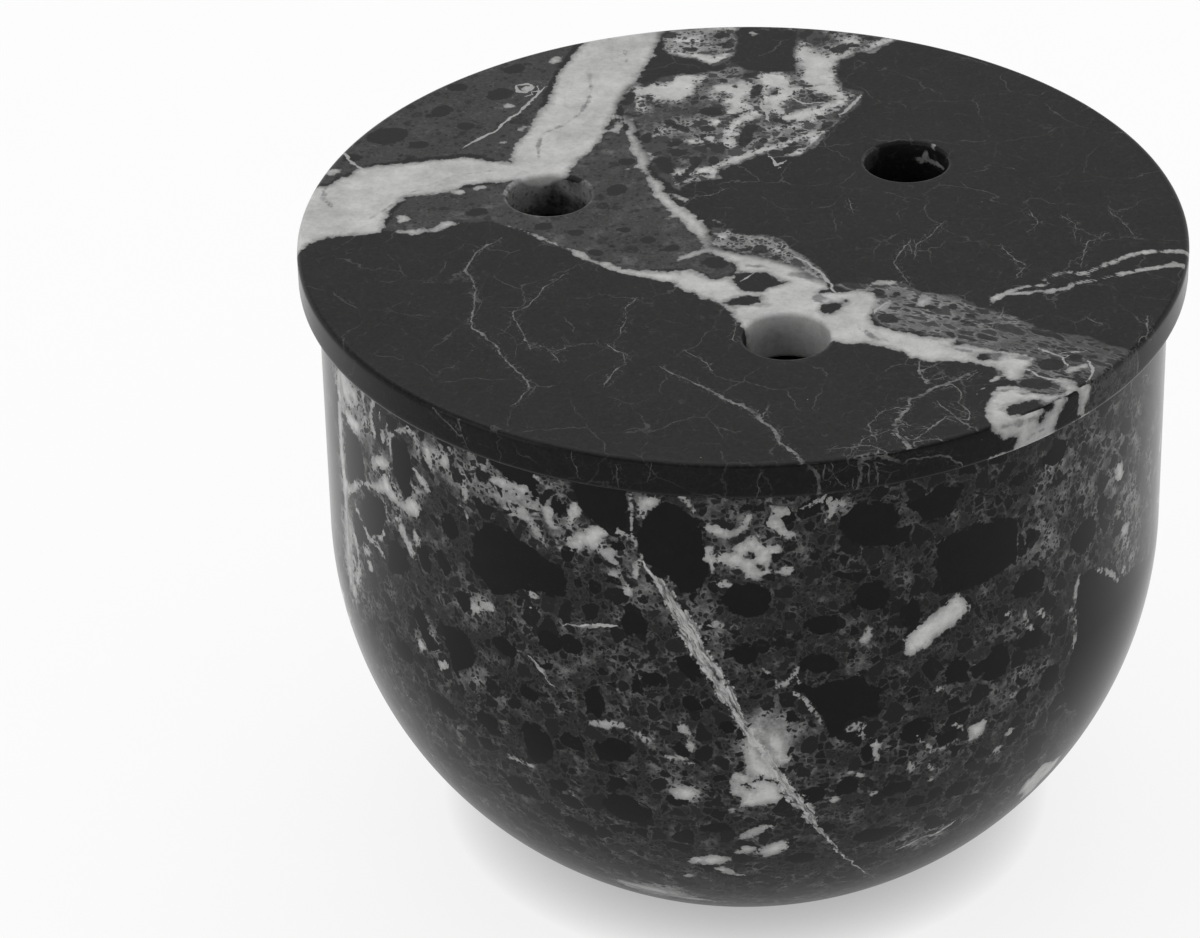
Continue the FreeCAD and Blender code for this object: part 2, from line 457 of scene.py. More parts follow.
lid_white_patches = [
    [(-69, -8), (-66, -6.6), (-64.8, -3.9), (-62.1, -2.1), (-58.9, -1.4), (-55.3, -1), (-54, 0),
     (-53, 6.5), (-50.7, 10.2), (-46.2, 11.3), (-42.5, 13.4), (-39.8, 14.7), (-34.6, 14.7),
     (-30, 15), (-29, 20), (-34, 21), (-38, 21.5), (-42.5, 23.1), (-49.8, 21.5), (-55.7, 20.6),
     (-58.9, 19.5), (-61.2, 16.5), (-63, 14.5), (-69, 13)],
    [(-5.2, -6), (-3.5, -5.8), (0, -7.4), (3.5, -8.8), (5, -9.8), (7, -10.3), (8.5, -11.5),
     (10, -12.8), (11.5, -15), (13, -17.5), (13.2, -19), (15, -19), (17, -18.7), (19, -19.5),
     (20, -21.5), (19.5, -24.5), (18.8, -26.5), (19.5, -29), (21.8, -30.5), (24.5, -31.7),
     (27.5, -32.2), (30.5, -33), (30.5, -34.6), (35, -35.4), (37, -36.7), (40.5, -37.4),
     (41.4, -38.5), (41.3, -40.5), (40, -42), (39.5, -44), (38.5, -44.8), (37.3, -44), (37, -42),
     (36, -40.5), (34, -40.3), (32, -39.5), (29.5, -39), (27, -39.2), (25.5, -38.8), (23.5, -38),
     (22.8, -36.5), (21, -35), (19, -34.3), (15, -34.3), (13, -33.2), (10, -30), (3, -30), (0, -29),
     (-0.8, -27.3), (-1.8, -25.5), (-2.7, -23), (-4.3, -21.7), (-6.5, -20.3), (-8.2, -18.8),
     (-10, -17.3), (-9.5, -12.6), (-8, -12.2), (-5.7, -13.7), (-4.5, -15.3), (-2.8, -14.8),
     (-1.2, -14.3), (-1, -12.8), (-1.3, -11), (-3, -9.2), (-5.2, -7.6)],
    [(-52.5, 5), (-50.5, 5.3), (-49.5, 3), (-52, 1.5)],
    [(-45.5, 3), (-42, 2.5), (-44, 1), (-46, 0)],
    [(-53, 0), (-50, -1.3), (-46, -0.3), (-43, 2), (-47, 0.6), (-51, 0.4)],
    # clouds in the zone behind the middle
    [(-17, 45), (-15.5, 45.5), (-14, 46.8), (-12, 46.5), (-11.5, 48.5), (-9.5, 49.8), (-7, 49.5),
     (-5.5, 50), (-5.3, 48), (-7, 46.5), (-7.5, 44.5), (-8.5, 42), (-10, 40.3), (-12, 40.5),
     (-13.5, 41), (-15, 42.5), (-15.5, 40), (-14.5, 38), (-15.5, 37), (-17, 38.5), (-16.5, 41.5),
     (-17.2, 43.5)],
    [(-5.2, 43), (-4.5, 45.5), (-3, 47), (-1, 46.5), (0, 47.5), (2, 46.5), (2, 44.5), (1, 42.5),
     (0.5, 40.5), (2, 38.8), (3.2, 39.5), (2, 37.5), (0, 36.5), (-2.5, 36), (-2, 38.5), (-3, 40.5),
     (-5, 41)],
    [(2, 48.8), (3.5, 50.2), (7, 50.6), (7.8, 48.5), (8.3, 46), (10, 45.3), (12, 46.5),
     (15.3, 45.8), (16, 43.5), (17.6, 42), (17, 40.3), (15.5, 38.5), (14, 36.5), (12, 35), (10, 33),
     (7, 33.5), (6, 35), (4.5, 36.5), (3.5, 38.5), (3.2, 41), (3.6, 44), (3, 46.5)],
    [(9, 50.5), (8.8, 58.5), (10, 60.5), (11.5, 58), (13.2, 56.3), (16.5, 56.3), (17.5, 58.8),
     (15.5, 61.5), (18.5, 62.5), (19.5, 60), (18.2, 57.7), (17.3, 55), (15, 53.5), (15.2, 51),
     (14.8, 47.5), (15.6, 45.5), (12, 45.2), (9.5, 46)],
    [(-12.5, 60.5), (-10.5, 62), (-8.5, 62.8), (-8, 64.8), (-5.8, 64), (-5.2, 61.8), (-6, 59.5),
     (-8, 60.5), (-10.5, 60)],
    # the eye at the front right: its surround
    [(36, -46.3), (37.2, -45.9), (38.7, -46.3), (40, -47.5), (42, -48.2), (44.2, -48.3),
     (45.3, -48.6), (44, -50.2), (43, -50.7), (41.5, -50), (39.5, -50.2), (38.8, -51.2),
     (37.2, -51.4), (36.8, -52.6), (37.4, -53.5), (39.5, -53.4), (41.5, -54), (43, -55), (42, -60),
     (38, -60.5), (35.5, -58.5), (34.4, -56.3), (33.9, -54), (34.3, -51.5), (34.8, -49.5),
     (35.2, -48)],
]
lid_white_blobs = [
    (-63, 18.5, 1.2, 1, 0), (-29.5, 55, 1.4, 0.8, 70), (-34, 45.3, 0.9, 0.9, 0),
    (-36.5, 39.5, 1.1, 0.8, 30), (-34.3, 31.5, 1, 0.8, 60), (-37, 27.5, 1.1, 0.7, 20),
    (-43.3, 11.8, 1, 0.7, 0), (-40, 13, 1, 0.7, 0), (-19.3, 32, 1.8, 0.9, 80),
    (-2.8, -2.7, 1.2, 1.5, 0), (2.3, 63.5, 0.9, 0.8, 0), (-12.5, 30, 1, 0.6, 45),
    (8.3, 65, 0.8, 0.6, 0), (-8, 33.5, 1.6, 0.9, 10), (-7.5, 27, 1.3, 1, 0),
    (-4.5, 28.3, 1.2, 1, 0), (-12.5, 31.5, 1.2, 0.7, 30), (-4, 33.5, 0.8, 1.2, 0),
    (21.5, -16.7, 1.8, 0.6, 10), (26.5, -22, 0.9, 1.6, -20), (20.5, -24, 0.5, 1.4, -25),
    (28.7, -23.5, 0.5, 1, 0), (5.5, -7, 0.6, 1.5, 40),
]
# Islands of dark stone in the white.
lid_islands = [
    [(-1, -14.2), (0, -13.3), (1, -13), (3, -13.6), (4, -13.8), (5, -15), (6.8, -16.6), (5, -17.3),
     (3.5, -18.4), (2, -18.8), (0.5, -18.3), (-0.4, -17), (-1.1, -15.5)],
    [(-2.7, -22.2), (-1, -20.8), (0, -20.5), (2.6, -20.4), (2.8, -21.8), (3.2, -22.6), (1.5, -22.5),
     (0, -22.7), (-1.5, -23)],
    [(11.3, -24), (12, -23), (13.5, -22.7), (15, -22), (14.2, -23.6), (12.8, -25.4), (12, -25.2)],
    [(11.4, -19.4), (12.3, -18.7), (13, -17.6), (13.2, -19)],
    [(33.3, -37.4), (35, -37), (37.5, -37.1), (36.5, -38.3), (34.5, -38.9), (33.5, -38.4)],
    [(6.7, 40), (8.5, 42), (10, 43.5), (11.5, 43.3), (13, 42.3), (15, 41.5), (14.8, 40),
     (12.5, 38.8), (10, 38), (8, 36.8), (7, 37.5), (6.7, 39)],
    [(4.2, 43.5), (4.8, 45.2), (5.7, 44.8), (5.2, 42.8), (4.3, 42.5)],
    [(-3.6, 43.2), (-2.6, 43.2), (-2, 41.7), (-3, 41.4)],
    [(12.3, 57), (14, 58.8), (14.2, 57), (13, 56.3)],
    [(15.5, 57.8), (16.7, 57.5), (16, 56.7)],
    [(-12.5, 64), (-11, 64.8), (-10.3, 63), (-11.8, 62.3)],
]
lid_threads = [
    [(-31, 45.5, 0.15), (-32, 44, 0.25), (-33.5, 40, 0.3), (-34.8, 37, 0.25), (-37, 34, 0.3),
     (-38.5, 31, 0.2), (-40.5, 29, 0.3), (-42.5, 26.5, 0.2)],
    [(-61.5, 24.5, 0.3), (-60.4, 22, 0.35), (-59, 20, 0.3), (-58, 19, 0.2)],
    thread(0.25, (-35.5, 46.5), (-33.5, 47), (-32.8, 45.2), (-33.8, 43.8), (-35.3, 44.2),
           (-35.5, 46)),
    thread(0.25, (8, -9), (10.2, -11.2), (11.7, -13.8), (12.9, -16.5), (13.4, -19)),
    thread(0.2, (19.3, -25), (20.2, -23.2), (21, -22.5)),
    thread(0.2, (40.5, -41.8), (42, -43.3), (44.6, -44.6)),
    thread(0.2, (43, -36.3), (45.5, -38.2), (46, -40)),
    thread(0.15, (46.5, -36.8), (48.5, -36.6)),
    thread(0.25, (49, -44), (49.8, -41.5), (49.3, -40)),
    thread(0.15, (0.3, -15.3), (1.6, -13.6)),
    thread(0.3, (3.2, 39.5), (4, 36.5), (4.2, 34.5)),
    thread(0.3, (15.8, 36), (17.5, 38.8), (18.5, 41.5)),
    thread(0.2, (8, 41.5), (9.5, 39.5), (12.5, 39.8)),
    thread(0.25, (4.6, 21.6), (5.3, 19.3), (6.3, 20.3)),
]
print("white on the lid:", len(lid_bands), "ribbons,", len(lid_white_patches), "patches,",
      len(lid_white_blobs), "blobs and", len(lid_threads), "threads")

# %% Hairline cracks on the lid
lid_cracks = [
    thread(0.16, (-36.5, -3), (-39.5, -6.5), (-40.5, -10.5), (-41, -12.3), (-39.7, -15),
           (-39.2, -18), (-39.2, -24), (-39.3, -28.5), (-37.5, -30.3), (-37, -32), (-35.3, -34),
           (-34.5, -37), (-33, -39.5), (-31, -43), (-30.2, -45), (-31, -47.5), (-32.3, -50)),
    thread(0.09, (-26.3, -13.5), (-29, -17), (-30, -20), (-31, -22.5), (-33.5, -24.5), (-32.5, -28),
           (-31.5, -31.5), (-30.5, -34.5)),
    thread(0.08, (-29.5, -33.5), (-27.5, -35.7), (-26.3, -38)),
    thread(0.07, (-27.5, -35.7), (-25, -34.2)),
    thread(0.1, (-19.2, -34), (-17, -36.5), (-17, -38.5), (-18.5, -42), (-19.7, -45)),
    thread(0.08, (-15.5, -21), (-17, -23.5), (-17, -27), (-17.5, -30)),
    thread(0.3, (-6.3, -45), (-2.5, -49), (0, -50.7), (2.5, -54.5), (4.5, -57.5), (5, -60.5),
           (7, -63), (9, -68)),
    thread(0.1, (-11.5, -40.5), (-6.3, -45)),
    thread(0.1, (3.5, -51), (2.8, -53.5)),
    thread(0.2, (25.2, -39.5), (25.2, -42.5), (26, -44.8)),
    thread(0.28, (32.5, -42), (30, -44.5), (27, -46.5), (25.5, -48), (23.5, -49.5), (23.3, -52),
           (21, -56), (21.8, -59.5), (23.5, -62.5)),
    thread(0.1, (25.5, -41.5), (28, -39.8)),
    thread(0.12, (27.5, -50.5), (29, -53), (30.5, -55.5), (33, -58)),
    thread(0.12, (29, -52.7), (28, -55), (25.5, -58), (24, -60)),
    thread(0.1, (22, -55), (24, -57)),
    thread(0.16, (14.5, -66), (15.5, -64.5), (18, -63.5), (20.5, -65.5)),
    thread(0.16, (23, -63), (27.5, -64), (29.5, -66.5)),
    thread(0.1, (25, -4.5), (23, -9), (22.5, -11), (23.5, -14), (24.5, -17)),
    thread(0.08, (30, 1), (28, -3), (26, -5.5), (25.7, -9)),
    thread(0.1, (38.5, -6), (40, -9.5), (41.8, -11.5), (40.5, -15)),
    thread(0.08, (54, -3), (51.5, -5), (50.5, -9), (50, -12)),
    thread(0.08, (55.5, 4), (57.5, -0.5), (58.5, -3)),
    thread(0.06, (48, 3), (50, 0.5), (49.5, -4)),
    thread(0.08, (16.3, 8), (16.7, 5)),
    thread(0.07, (43.5, 4), (44.5, 1), (43, -1.5)),
    thread(0.13, (58.5, -27.5), (58.3, -32), (57, -33), (56.5, -38), (55, -42)),
    thread(0.09, (-9, 9), (-4, 10.5), (-2.5, 12)),
    thread(0.06, (50, -27.3), (51.5, -28.7)),
    thread(0.08, (-1, -28), (-1.2, -33)),
    thread(0.07, (-8, -36), (-5, -39), (-4.5, -41)),
    thread(0.12, (29.5, -44.8), (31, -48), (30.2, -50.5), (32, -53), (31.5, -56)),
    thread(0.1, (23.4, -51), (19.5, -52.5), (17.5, -56), (18.5, -60)),
    thread(0.1, (21.5, -57), (17, -59.5), (14.5, -64)),
    thread(0.12, (26, -44.6), (28.5, -43.5)),
    thread(0.1, (24, -60.5), (27.5, -60), (30, -61.5)),
    thread(0.09, (33, -42.5), (31.5, -44.5)),
    thread(0.09, (12, -62.5), (17.5, -61.5), (21, -63.8)),
    thread(0.08, (36, -29.5), (38, -24.5)),
]
print("cracks on the lid:", len(lid_cracks))

# %% Breccia on the lid
# Each zone has the whiteness of its cement, from 0 to 1, and an outline.
lid_zones = {
    "behind_left_band": (0.12, [
        (-70, 15), (-63, 15), (-58, 20.5), (-50, 22.5), (-42, 24), (-36, 21), (-33, 24), (-32, 34),
        (-31, 44), (-29, 52), (-27, 60), (-26, 70), (-50, 60)]),
    "round_left_vent": (0.2, [
        (-54, 0), (-51, 10), (-45, 12), (-37, 14.5), (-30, 18), (-24, 23), (-21, 30), (-20, 35),
        (-16, 27), (-15, 20), (-13, 12), (-8, 4), (-5.5, -4), (-5.2, -7.6), (-3, -9.2), (-1.3, -11),
        (-1, -13), (-2.8, -14.8), (-4.5, -15.3), (-5.7, -13.7), (-8, -12.2), (-17, -12.5), (-20, -11),
        (-23, -9), (-28, -4.5), (-32, -0.5), (-38, 2.5), (-43, 2.5), (-50, 0)]),
    "middle": (0.55, [
        (-4.5, 0), (-1, 0), (0, -1.5), (2, -2), (5, -2.5), (6.5, -4), (8, -7), (10, -9.5), (12, -13),
        (13, -16), (11, -15), (8, -11.5), (4, -9), (0, -7.5), (-4.5, -5.5)]),
    "right_front": (0.42, [
        (13.3, -17.3), (15, -16.2), (18, -17), (19.5, -16.2), (24, -17), (26, -19.5), (31, -20.5),
        (35, -24), (40, -27), (43, -30.5), (50, -32.5), (51.5, -34.5), (55, -36), (56.5, -37.5),
        (47.5, -48.5), (46, -50), (42, -52), (38, -44), (36, -43), (36, -40), (34, -36), (28, -32),
        (21, -30), (19, -27), (19.5, -21), (15, -18.5)]),
    "back_left_patch": (0.55, [
        (-12.5, 60.5), (-12.5, 64), (-10, 66), (-1, 67), (-0.5, 62), (-0.5, 57), (-2, 54),
        (-4.5, 52.5), (-7, 54.5), (-12, 57)]),
    "back_middle": (0.40, [
        (-17.5, 45.5), (-12, 49), (-5.5, 50.5), (-3, 51), (-1.5, 54), (-0.5, 53), (1.5, 50.3),
        (8.7, 50.3), (8.7, 60), (9.5, 68), (24, 68), (24.5, 60.6), (20.5, 57.3), (18, 56.5),
        (15.5, 53.8), (15.5, 48), (16.4, 44.5), (19.2, 43.2), (18.8, 39), (16.5, 35), (14, 31.5),
        (12.3, 27.9), (10.7, 25.5), (10, 22.8), (7.3, 21.8), (4.5, 22), (3.6, 23.3), (0, 21),
        (-3.2, 18.8), (-4.1, 15.2), (-8.2, 13.8), (-9.5, 11.5), (-11.4, 14.3), (-13.5, 17.9),
        (-14.1, 22.5), (-15.5, 27.9), (-16, 32.9), (-18.2, 36), (-18.8, 39.7), (-18, 43.5)]),
}
rough_zones = ("middle", "back_left_patch", "back_middle")
# Where the fragments' cement is whiter or greyer than its zone's: an ellipse and how much to add.
lid_cement_changes = [
    ((-12.5, 20, 2.5, 6, 15), -0.35), ((-9, 24, 6, 6, 0), -0.12), ((-12, 36, 4, 2, 0), -0.15),
    ((-7, 32, 6, 4, 0), 0.12), ((10, 31, 6, 3.5, 30), 0.2), ((12.5, 54, 5, 6, 90), 0.25),
    ((-9, 60, 5, 4, 0), 0.15), ((-3, 49.5, 4, 2.5, 0), 0.1), ((3, 27, 3.5, 5, 0), 0.05),
    ((18, 39.5, 1.5, 5, -35), -0.2), ((24, -24, 8, 6, -35), 0.1), ((46, -36, 9, 6, -35), -0.12),
    ((51, -40, 5, 6, -40), -0.1), ((11, 62.5, 3, 4, 0), -0.25),
]
# Dark fragments, as ellipses and then as outlines.
lid_clasts = [
    (-38, 43.5, 2.4, 1.9, 30), (-55, 30, 3.4, 2.6, 20), (-29.8, 0.9, 1.5, 1.2, 0),
    (-21.8, -7.1, 1.3, 1.1, 0), (-17.7, -0.3, 1.1, 0.9, 0), (-14.1, -3.5, 1.3, 1.1, 0),
    (-17.7, 41.7, 2.4, 1.1, 82), (-11, 33.6, 1.2, 0.9, -30), (-9.2, 31.6, 2, 0.8, -42),
    (-5.3, 31.4, 1.5, 1.1, 0), (-14.6, 28.5, 0.9, 1.8, 0), (-10.3, 26.7, 1.5, 0.8, 20),
    (-7, 21, 1.1, 1.6, 0), (-4.2, 21, 1, 1.5, 0), (-7.8, 18, 0.7, 1.4, -30),
    (-11.8, 19.8, 1.2, 3.2, 15), (1.5, 31.5, 1.1, 1.4, 0), (6.4, 27.8, 0.8, 1.1, 30),
    (3.5, 27.5, 0.7, 0.9, 0), (2.6, 25.2, 0.8, 0.5, 20), (5.8, 34, 0.9, 0.8, 0),
    (7.5, 33, 0.6, 0.5, 0), (2.4, 43.8, 0.9, 2.2, -15), (-0.9, 45.4, 0.5, 0.8, 20),
    (13.3, 32.3, 1.8, 0.8, 50), (-8.2, 58.3, 1.6, 0.8, -15), (-11.4, 63.4, 1.3, 1.1, 20),
    (-3, 63, 1.6, 1.2, 30), (18, 59.2, 1.1, 0.8, 0), (20.8, 61.5, 1.3, 0.8, 0),
    (-2, 59.5, 1.5, 1, 60), (21, -27, 1.7, 1.3, -35), (26.5, -23.7, 1.8, 0.8, -15),
    (30.7, -24, 0.8, 1, 0), (32, -28, 1.9, 0.5, -32), (24.2, -30.9, 1.6, 0.5, -12),
    (20, -19.5, 1.1, 1, 0), (22.5, -20, 0.8, 0.7, 0), (27.5, -32.8, 0.9, 0.5, 20),
    (33.2, -26.5, 1.1, 0.5, -40), (38.5, -38.5, 0.4, 0.3, 0), (43.8, -40.3, 2, 1.7, 0),
    (47.5, -38.1, 1.1, 0.9, 0), (41.5, -45.4, 2.5, 1.5, -15), (47.6, -44.8, 0.9, 2.1, 12),
    (-4.4, -2.7, 0.5, 1.6, 10), (-0.5, -1, 1.3, 0.9, -20), (-2.7, -5.6, 0.7, 0.5, 0),
    (3, -7.2, 1.3, 0.6, 10), (5.2, -9, 1.3, 0.5, 5), (0.5, -6.6, 0.8, 0.5, 0),
    (-47, 38, 2.2, 1.7, 50), (-43, 33, 1.6, 1.2, 0), (-36, 52, 2, 1.5, 40), (-45, 46, 1.8, 1.4, 0),
    (-40, 5.5, 1.8, 1.2, 20), (-19, 12, 2, 1.5, 60), (-17.5, 21, 1.5, 1.1, 0),
    (-25, -1, 1.4, 1, 0), (-10.5, -6, 1.4, 1, 30), (-4, -10.5, 2, 1.6, -30),
    (-50, 27, 1.8, 1.3, 0), (-60, 23, 1.6, 1.3, 0),
]
lid_clast_patches = [
    [(-7, 37), (-6, 38.3), (-3, 38.5), (-3, 35.8), (-4.5, 35.7), (-6.5, 36.3)],
    [(0.3, 31.5), (2, 33), (3, 32.5), (2, 30), (1.5, 27), (0.5, 25), (-0.5, 25.8), (-0.3, 28.5)],
    [(4, 24), (5, 24.7), (6.8, 24), (6.8, 22.3), (4.5, 22)],
]
# Grey stains that run along inside the white.
lid_stains = [
    [(-24, 50, 0.5), (-23.7, 44, 0.3), (-24, 41, 0.4), (-25.5, 36, 0.25), (-28, 33, 0.4),
     (-31, 30, 0.3), (-31.5, 26, 0.4), (-31.2, 22, 0.2)],
    [(-18.5, 58, 0.5), (-18.3, 54, 0.2)],
    [(-63.7, 17, 0.5), (-63.5, 10, 0.4), (-62, 7.5, 0.3)],
    [(-56, 4, 0.2), (-50, 12, 0.15), (-44, 17, 0.2), (-38, 18.5, 0.15)],
    [(11, -21, 1.1), (12.5, -22, 1.0)],
    [(7.5, -14, 0.9), (9.5, -14.5, 1.0), (11.5, -16.5, 0.7)],
    [(36.5, -47.2, 0.5), (38.2, -46.8, 0.4), (39.5, -48.2, 0.4)],
    [(35.5, -37.4, 0.3), (38, -37.9, 0.7), (40.6, -38.6, 0.6)],
    [(27, -33.5, 0.2), (31, -36, 0.5), (33.5, -36.6, 0.3)],
    [(0.5, -11.5, 0.4), (3.5, -11.5, 0.5)],
    [(17, -29, 0.5), (18.5, -32, 0.6), (21, -33.5, 0.3)],
]
print("breccia on the lid:", len(lid_zones), "zones and",
      len(lid_clasts) + len(lid_clast_patches), "dark fragments")

# %% What shows on the walls of the two vents at the back
# Degrees round the vent from +X, and mm down the wall from the top.
right_vent_veins = [
    [(75, 2.9, 0.0), (65, 3.4, 0.15), (54, 3.0, 0.25), (42, 2.7, 0.2), (27, 2.9, 0.3),
     (13, 2.4, 0.2)],
    [(57, 1.5, 0.1), (64, 2.8, 0.1)],
    [(49, -0.3, 0.2), (45, 0.6, 0.05)],
]
right_vent_haze = [[(128, 0.6), (138, 3.2), (165, 3.6), (190, 2), (185, -1), (150, -1)]]
left_vent_dark = [[(38, -1), (42, 0.7), (55, 1.0), (72, 0.7), (78, -1)]]
# Partly painted light: this whiter cement is partly the stone's pattern and partly lightens a deep wall
# that gets little light.
left_vent_cement_and_light = [    # where the cement is whiter: an ellipse and how much to add
    ((145, 2.0, 3.4, 4.2, 0), 0.6), ((106, 0.5, 3.0, 2.0, 0), 0.5), ((26, 2.6, 3.6, 1.6, 0), 0.5),
]

# %% What runs over the lid's side
# Degrees round from the front, and mm down the side from the top.
side_white_and_highlight = [
    [(31, -1), (31, 0), (32, 1.5), (33, 2.5), (35, 3), (35.2, 4.2), (34.5, 5.7), (34.5, 7),
     (41.1, 7), (41.4, 4.6), (42.1, 2.3), (43.2, 0.7), (43.8, -1)],
    [(45, -1), (45.5, 0.8), (45.7, 2.6), (45.3, 4.5), (46.1, 4.3), (47.1, 2.8), (47.6, 1.2),
     (47.3, -0.2), (47, -1)],
    # Painted highlight: this thin white strip along the lower edge, 31 to 50 degrees round, stands in
    # for a glint of light.
    [(31, 5.25), (50, 5.3), (50, 5.75), (31, 5.75)],
]
side_white_hole = [[(39.6, -1), (40.8, -1), (40.6, 0.6), (39.9, 1.4), (38.8, 2.1), (39.5, 0.9)]]
side_stains = [
    [(32.8, 0.6, 0.3), (35.5, 0.9, 0.7), (38.2, 1.5, 0.5)],
    [(36, 4.2, 0.2), (39.5, 3.8, 0.3)],
]
side_breccia = [[(47, -1), (46.5, 3), (47, 7), (57, 7), (58, 3), (58, -1)]]
side_threads = [
    thread(0.2, (58, -1), (58.3, 3), (58, 7)),
    thread(0.2, (59, -1), (61.5, 1)),
    thread(0.28, (13.8, -1), (14.2, 3), (13.4, 6)),
    thread(0.3, (14, 0.4), (16.5, 0.2), (19.5, 2)),
    thread(0.15, (16, 1.8), (16.3, 5)),
    thread(0.18, (20.5, 1.8), (24.5, 2.2), (27, 4.5)),
    thread(0.3, (7.3, -1), (9, 2.5), (9, 5.5)),
    thread(0.12, (-37, 0.5), (-36.5, 2.5), (-35.5, 4.5)),
    thread(0.15, (-41, 0.5), (-39.3, 1.4), (-37, 3)),
    thread(0.09, (-15.3, 1.8), (-15.1, 4.5)),
    thread(0.09, (-11, 0), (-11.2, 2.5)),
    thread(0.08, (-21, 1), (-20.2, 4)),
    thread(0.1, (10.5, 0.5), (11, 3), (12, 4.2)),
    thread(0.08, (2, 1.5), (1.6, 4.5)),
]
print("on the side:", len(side_white_and_highlight), "patches and", len(side_threads), "threads")

# %% Read the lid's plan at every point
vein_lean = np.array([0.22, -0.18])     # how far a vein moves across for each mm of depth
zone_border = (-1.5, 1)                 # mm inside a zone over which its cement sets in
change_border = (-1.5, 1.5)             # the same for a change of the cement


def in_mm(drawing, mm_per_degree):
    """A point, a blob, or lists of them, with the degrees that come first in each turned into mm."""
    if isinstance(drawing, tuple):
        return (drawing[0] * mm_per_degree, *drawing[1:])
    return [in_mm(part, mm_per_degree) for part in drawing]


def smooth_step(values, low, high):
    """0 below low, 1 above high, and between them 3 s^2 - 2 s^3 of the share s of the way."""
    share = np.clip((values - low) / (high - low), 0, 1)
    return share * share * (3 - 2 * share)


def plan_readings(plan):
    """What the lid's plan says at each point of it."""
    white = np.maximum(ribbons(plan, *lid_bands), patches(plan, *lid_white_patches))
    white = np.maximum(white, blobs(plan, *lid_white_blobs))
    zone = np.full(len(plan), -FAR)
    cement = np.zeros(len(plan))
    for whiteness, outline in lid_zones.values():
        inside = patches(plan, outline)
        zone = np.maximum(zone, inside)
        cement = np.maximum(cement, whiteness * smooth_step(inside, *zone_border))
    for ellipse, change in lid_cement_changes:
        cement = cement + change * smooth_step(blobs(plan, ellipse), *change_border)
    clast = np.maximum(blobs(plan, *lid_clasts), patches(plan, *lid_clast_patches))
    platy = patches(plan, lid_zones["right_front"][1])
    rough = patches(plan, *(lid_zones[name][1] for name in rough_zones))
    vein, vein_near, vein_width = threads(plan, *lid_threads)
    crack, crack_near, crack_width = threads(plan, *lid_cracks)
    return {
        "white": np.minimum(white, -patches(plan, *lid_islands)), "zone": zone, "cement": cement,
        "clast": clast, "platy": smooth_step(platy, -1, 1),
        "vein": vein, "vein_near": vein_near, "vein_width": vein_width,
        "crack": crack, "crack_near": crack_near, "crack_width": crack_width,
        "stain": ribbons(plan, *lid_stains), "rough": smooth_step(rough, -2, 1),
        "side": np.zeros(len(plan)),
    }


# %% Read the walls and the side, which have drawings of their own
wall_mm_per_degree = math.radians(1) * vent_radius
side_mm_per_degree = math.radians(1) * lid_radius
# Partly painted light: the wall's cement is set whiter than its zone's, to lighten a deep wall that
# gets little light.
left_wall_cement_and_light = 0.32             # whiteness where nothing is drawn
side_skin = 0.3                     # mm: a point this close to the lid's radius is on its side
front_of = -10                      # mm in y: the side's own drawing is in front of this


def wall_plan(points, angle):
    """A vent's wall unrolled, as mm round from +X and mm down, and which points are on that wall."""
    away = points[:, :2] - vent_middle(angle)
    around = np.degrees(np.arctan2(away[:, 1], away[:, 0])) * wall_mm_per_degree
    depth = lid_top - points[:, 2]
    on_wall = (np.hypot(*away.T) < vent_radius + 0.8 * vent_edge_radius) & (depth > 0)
    return np.stack([around, depth], axis=-1), on_wall


def right_wall_readings(points, _):
    """The back right vent: dark stone with a thin vein and a haze."""
    wall, on_wall = wall_plan(points, vent_angles[1])
    return on_wall, {
        "white": ribbons(wall, *in_mm(right_vent_veins, wall_mm_per_degree)),
        "zone": patches(wall, *in_mm(right_vent_haze, wall_mm_per_degree)), "cement": 0.05,
    }


def left_wall_readings(points, plan_says):
    """The back left vent: breccia all over, and the plan's white dies out on the way down."""
    wall, on_wall = wall_plan(points, vent_angles[2])
    # Partly painted light: the whiter cement lightens the deep wall.
    cement = left_wall_cement_and_light
    for ellipse, change in left_vent_cement_and_light:
        inside = blobs(wall, in_mm(ellipse, wall_mm_per_degree))
        cement = cement + change * smooth_step(inside, -1.8, 1.2)
    return on_wall, {
        "white": plan_says["white"] - 1.6 * np.clip(wall[:, 1] - 0.5, 0, None), "zone": 9.0,
        "cement": cement, "clast": patches(wall, *in_mm(left_vent_dark, wall_mm_per_degree)),
    }


def side_readings(points, _):
    """The front half of the lid's side: mm round from the front, and mm down from the top."""
    azimuth = np.degrees(np.arctan2(points[:, 0], -points[:, 1]))
    side = np.stack([azimuth * side_mm_per_degree, lid_top - points[:, 2]], axis=-1)
    radius = np.hypot(points[:, 0], points[:, 1])
    on_side = (radius > lid_radius - side_skin) & (points[:, 1] < front_of)
    # This white includes the painted highlight along the lower edge.
    white = patches(side, *in_mm(side_white_and_highlight, side_mm_per_degree))
    hole = patches(side, *in_mm(side_white_hole, side_mm_per_degree))
    crack, crack_near, crack_width = threads(side, *in_mm(side_threads, side_mm_per_degree))
    return on_side, {
        "white": np.minimum(white, -hole),
        "zone": patches(side, *in_mm(side_breccia, side_mm_per_degree)),
        "clast": -FAR, "platy": 1.0, "vein": FAR, "vein_near": FAR,
        "crack": crack, "crack_near": crack_near, "crack_width": crack_width,
        "stain": ribbons(side, *in_mm(side_stains, side_mm_per_degree)), "rough": 0.0, "side": 1.0,
    }


def lid_readings(points):
    """The plan at every point, further along the deeper it lies; then each surface of its own."""
    depth = lid_top - points[:, 2:]
    readings = plan_readings(points[:, :2] + depth * vein_lean)
    for own_readings in (right_wall_readings, left_wall_readings, side_readings):
        there, own = own_readings(points, readings)
        for name, values in own.items():
            readings[name] = np.where(there, values, readings[name])
    return readings


store(lid_stone, **lid_readings(points_of(lid_stone)))

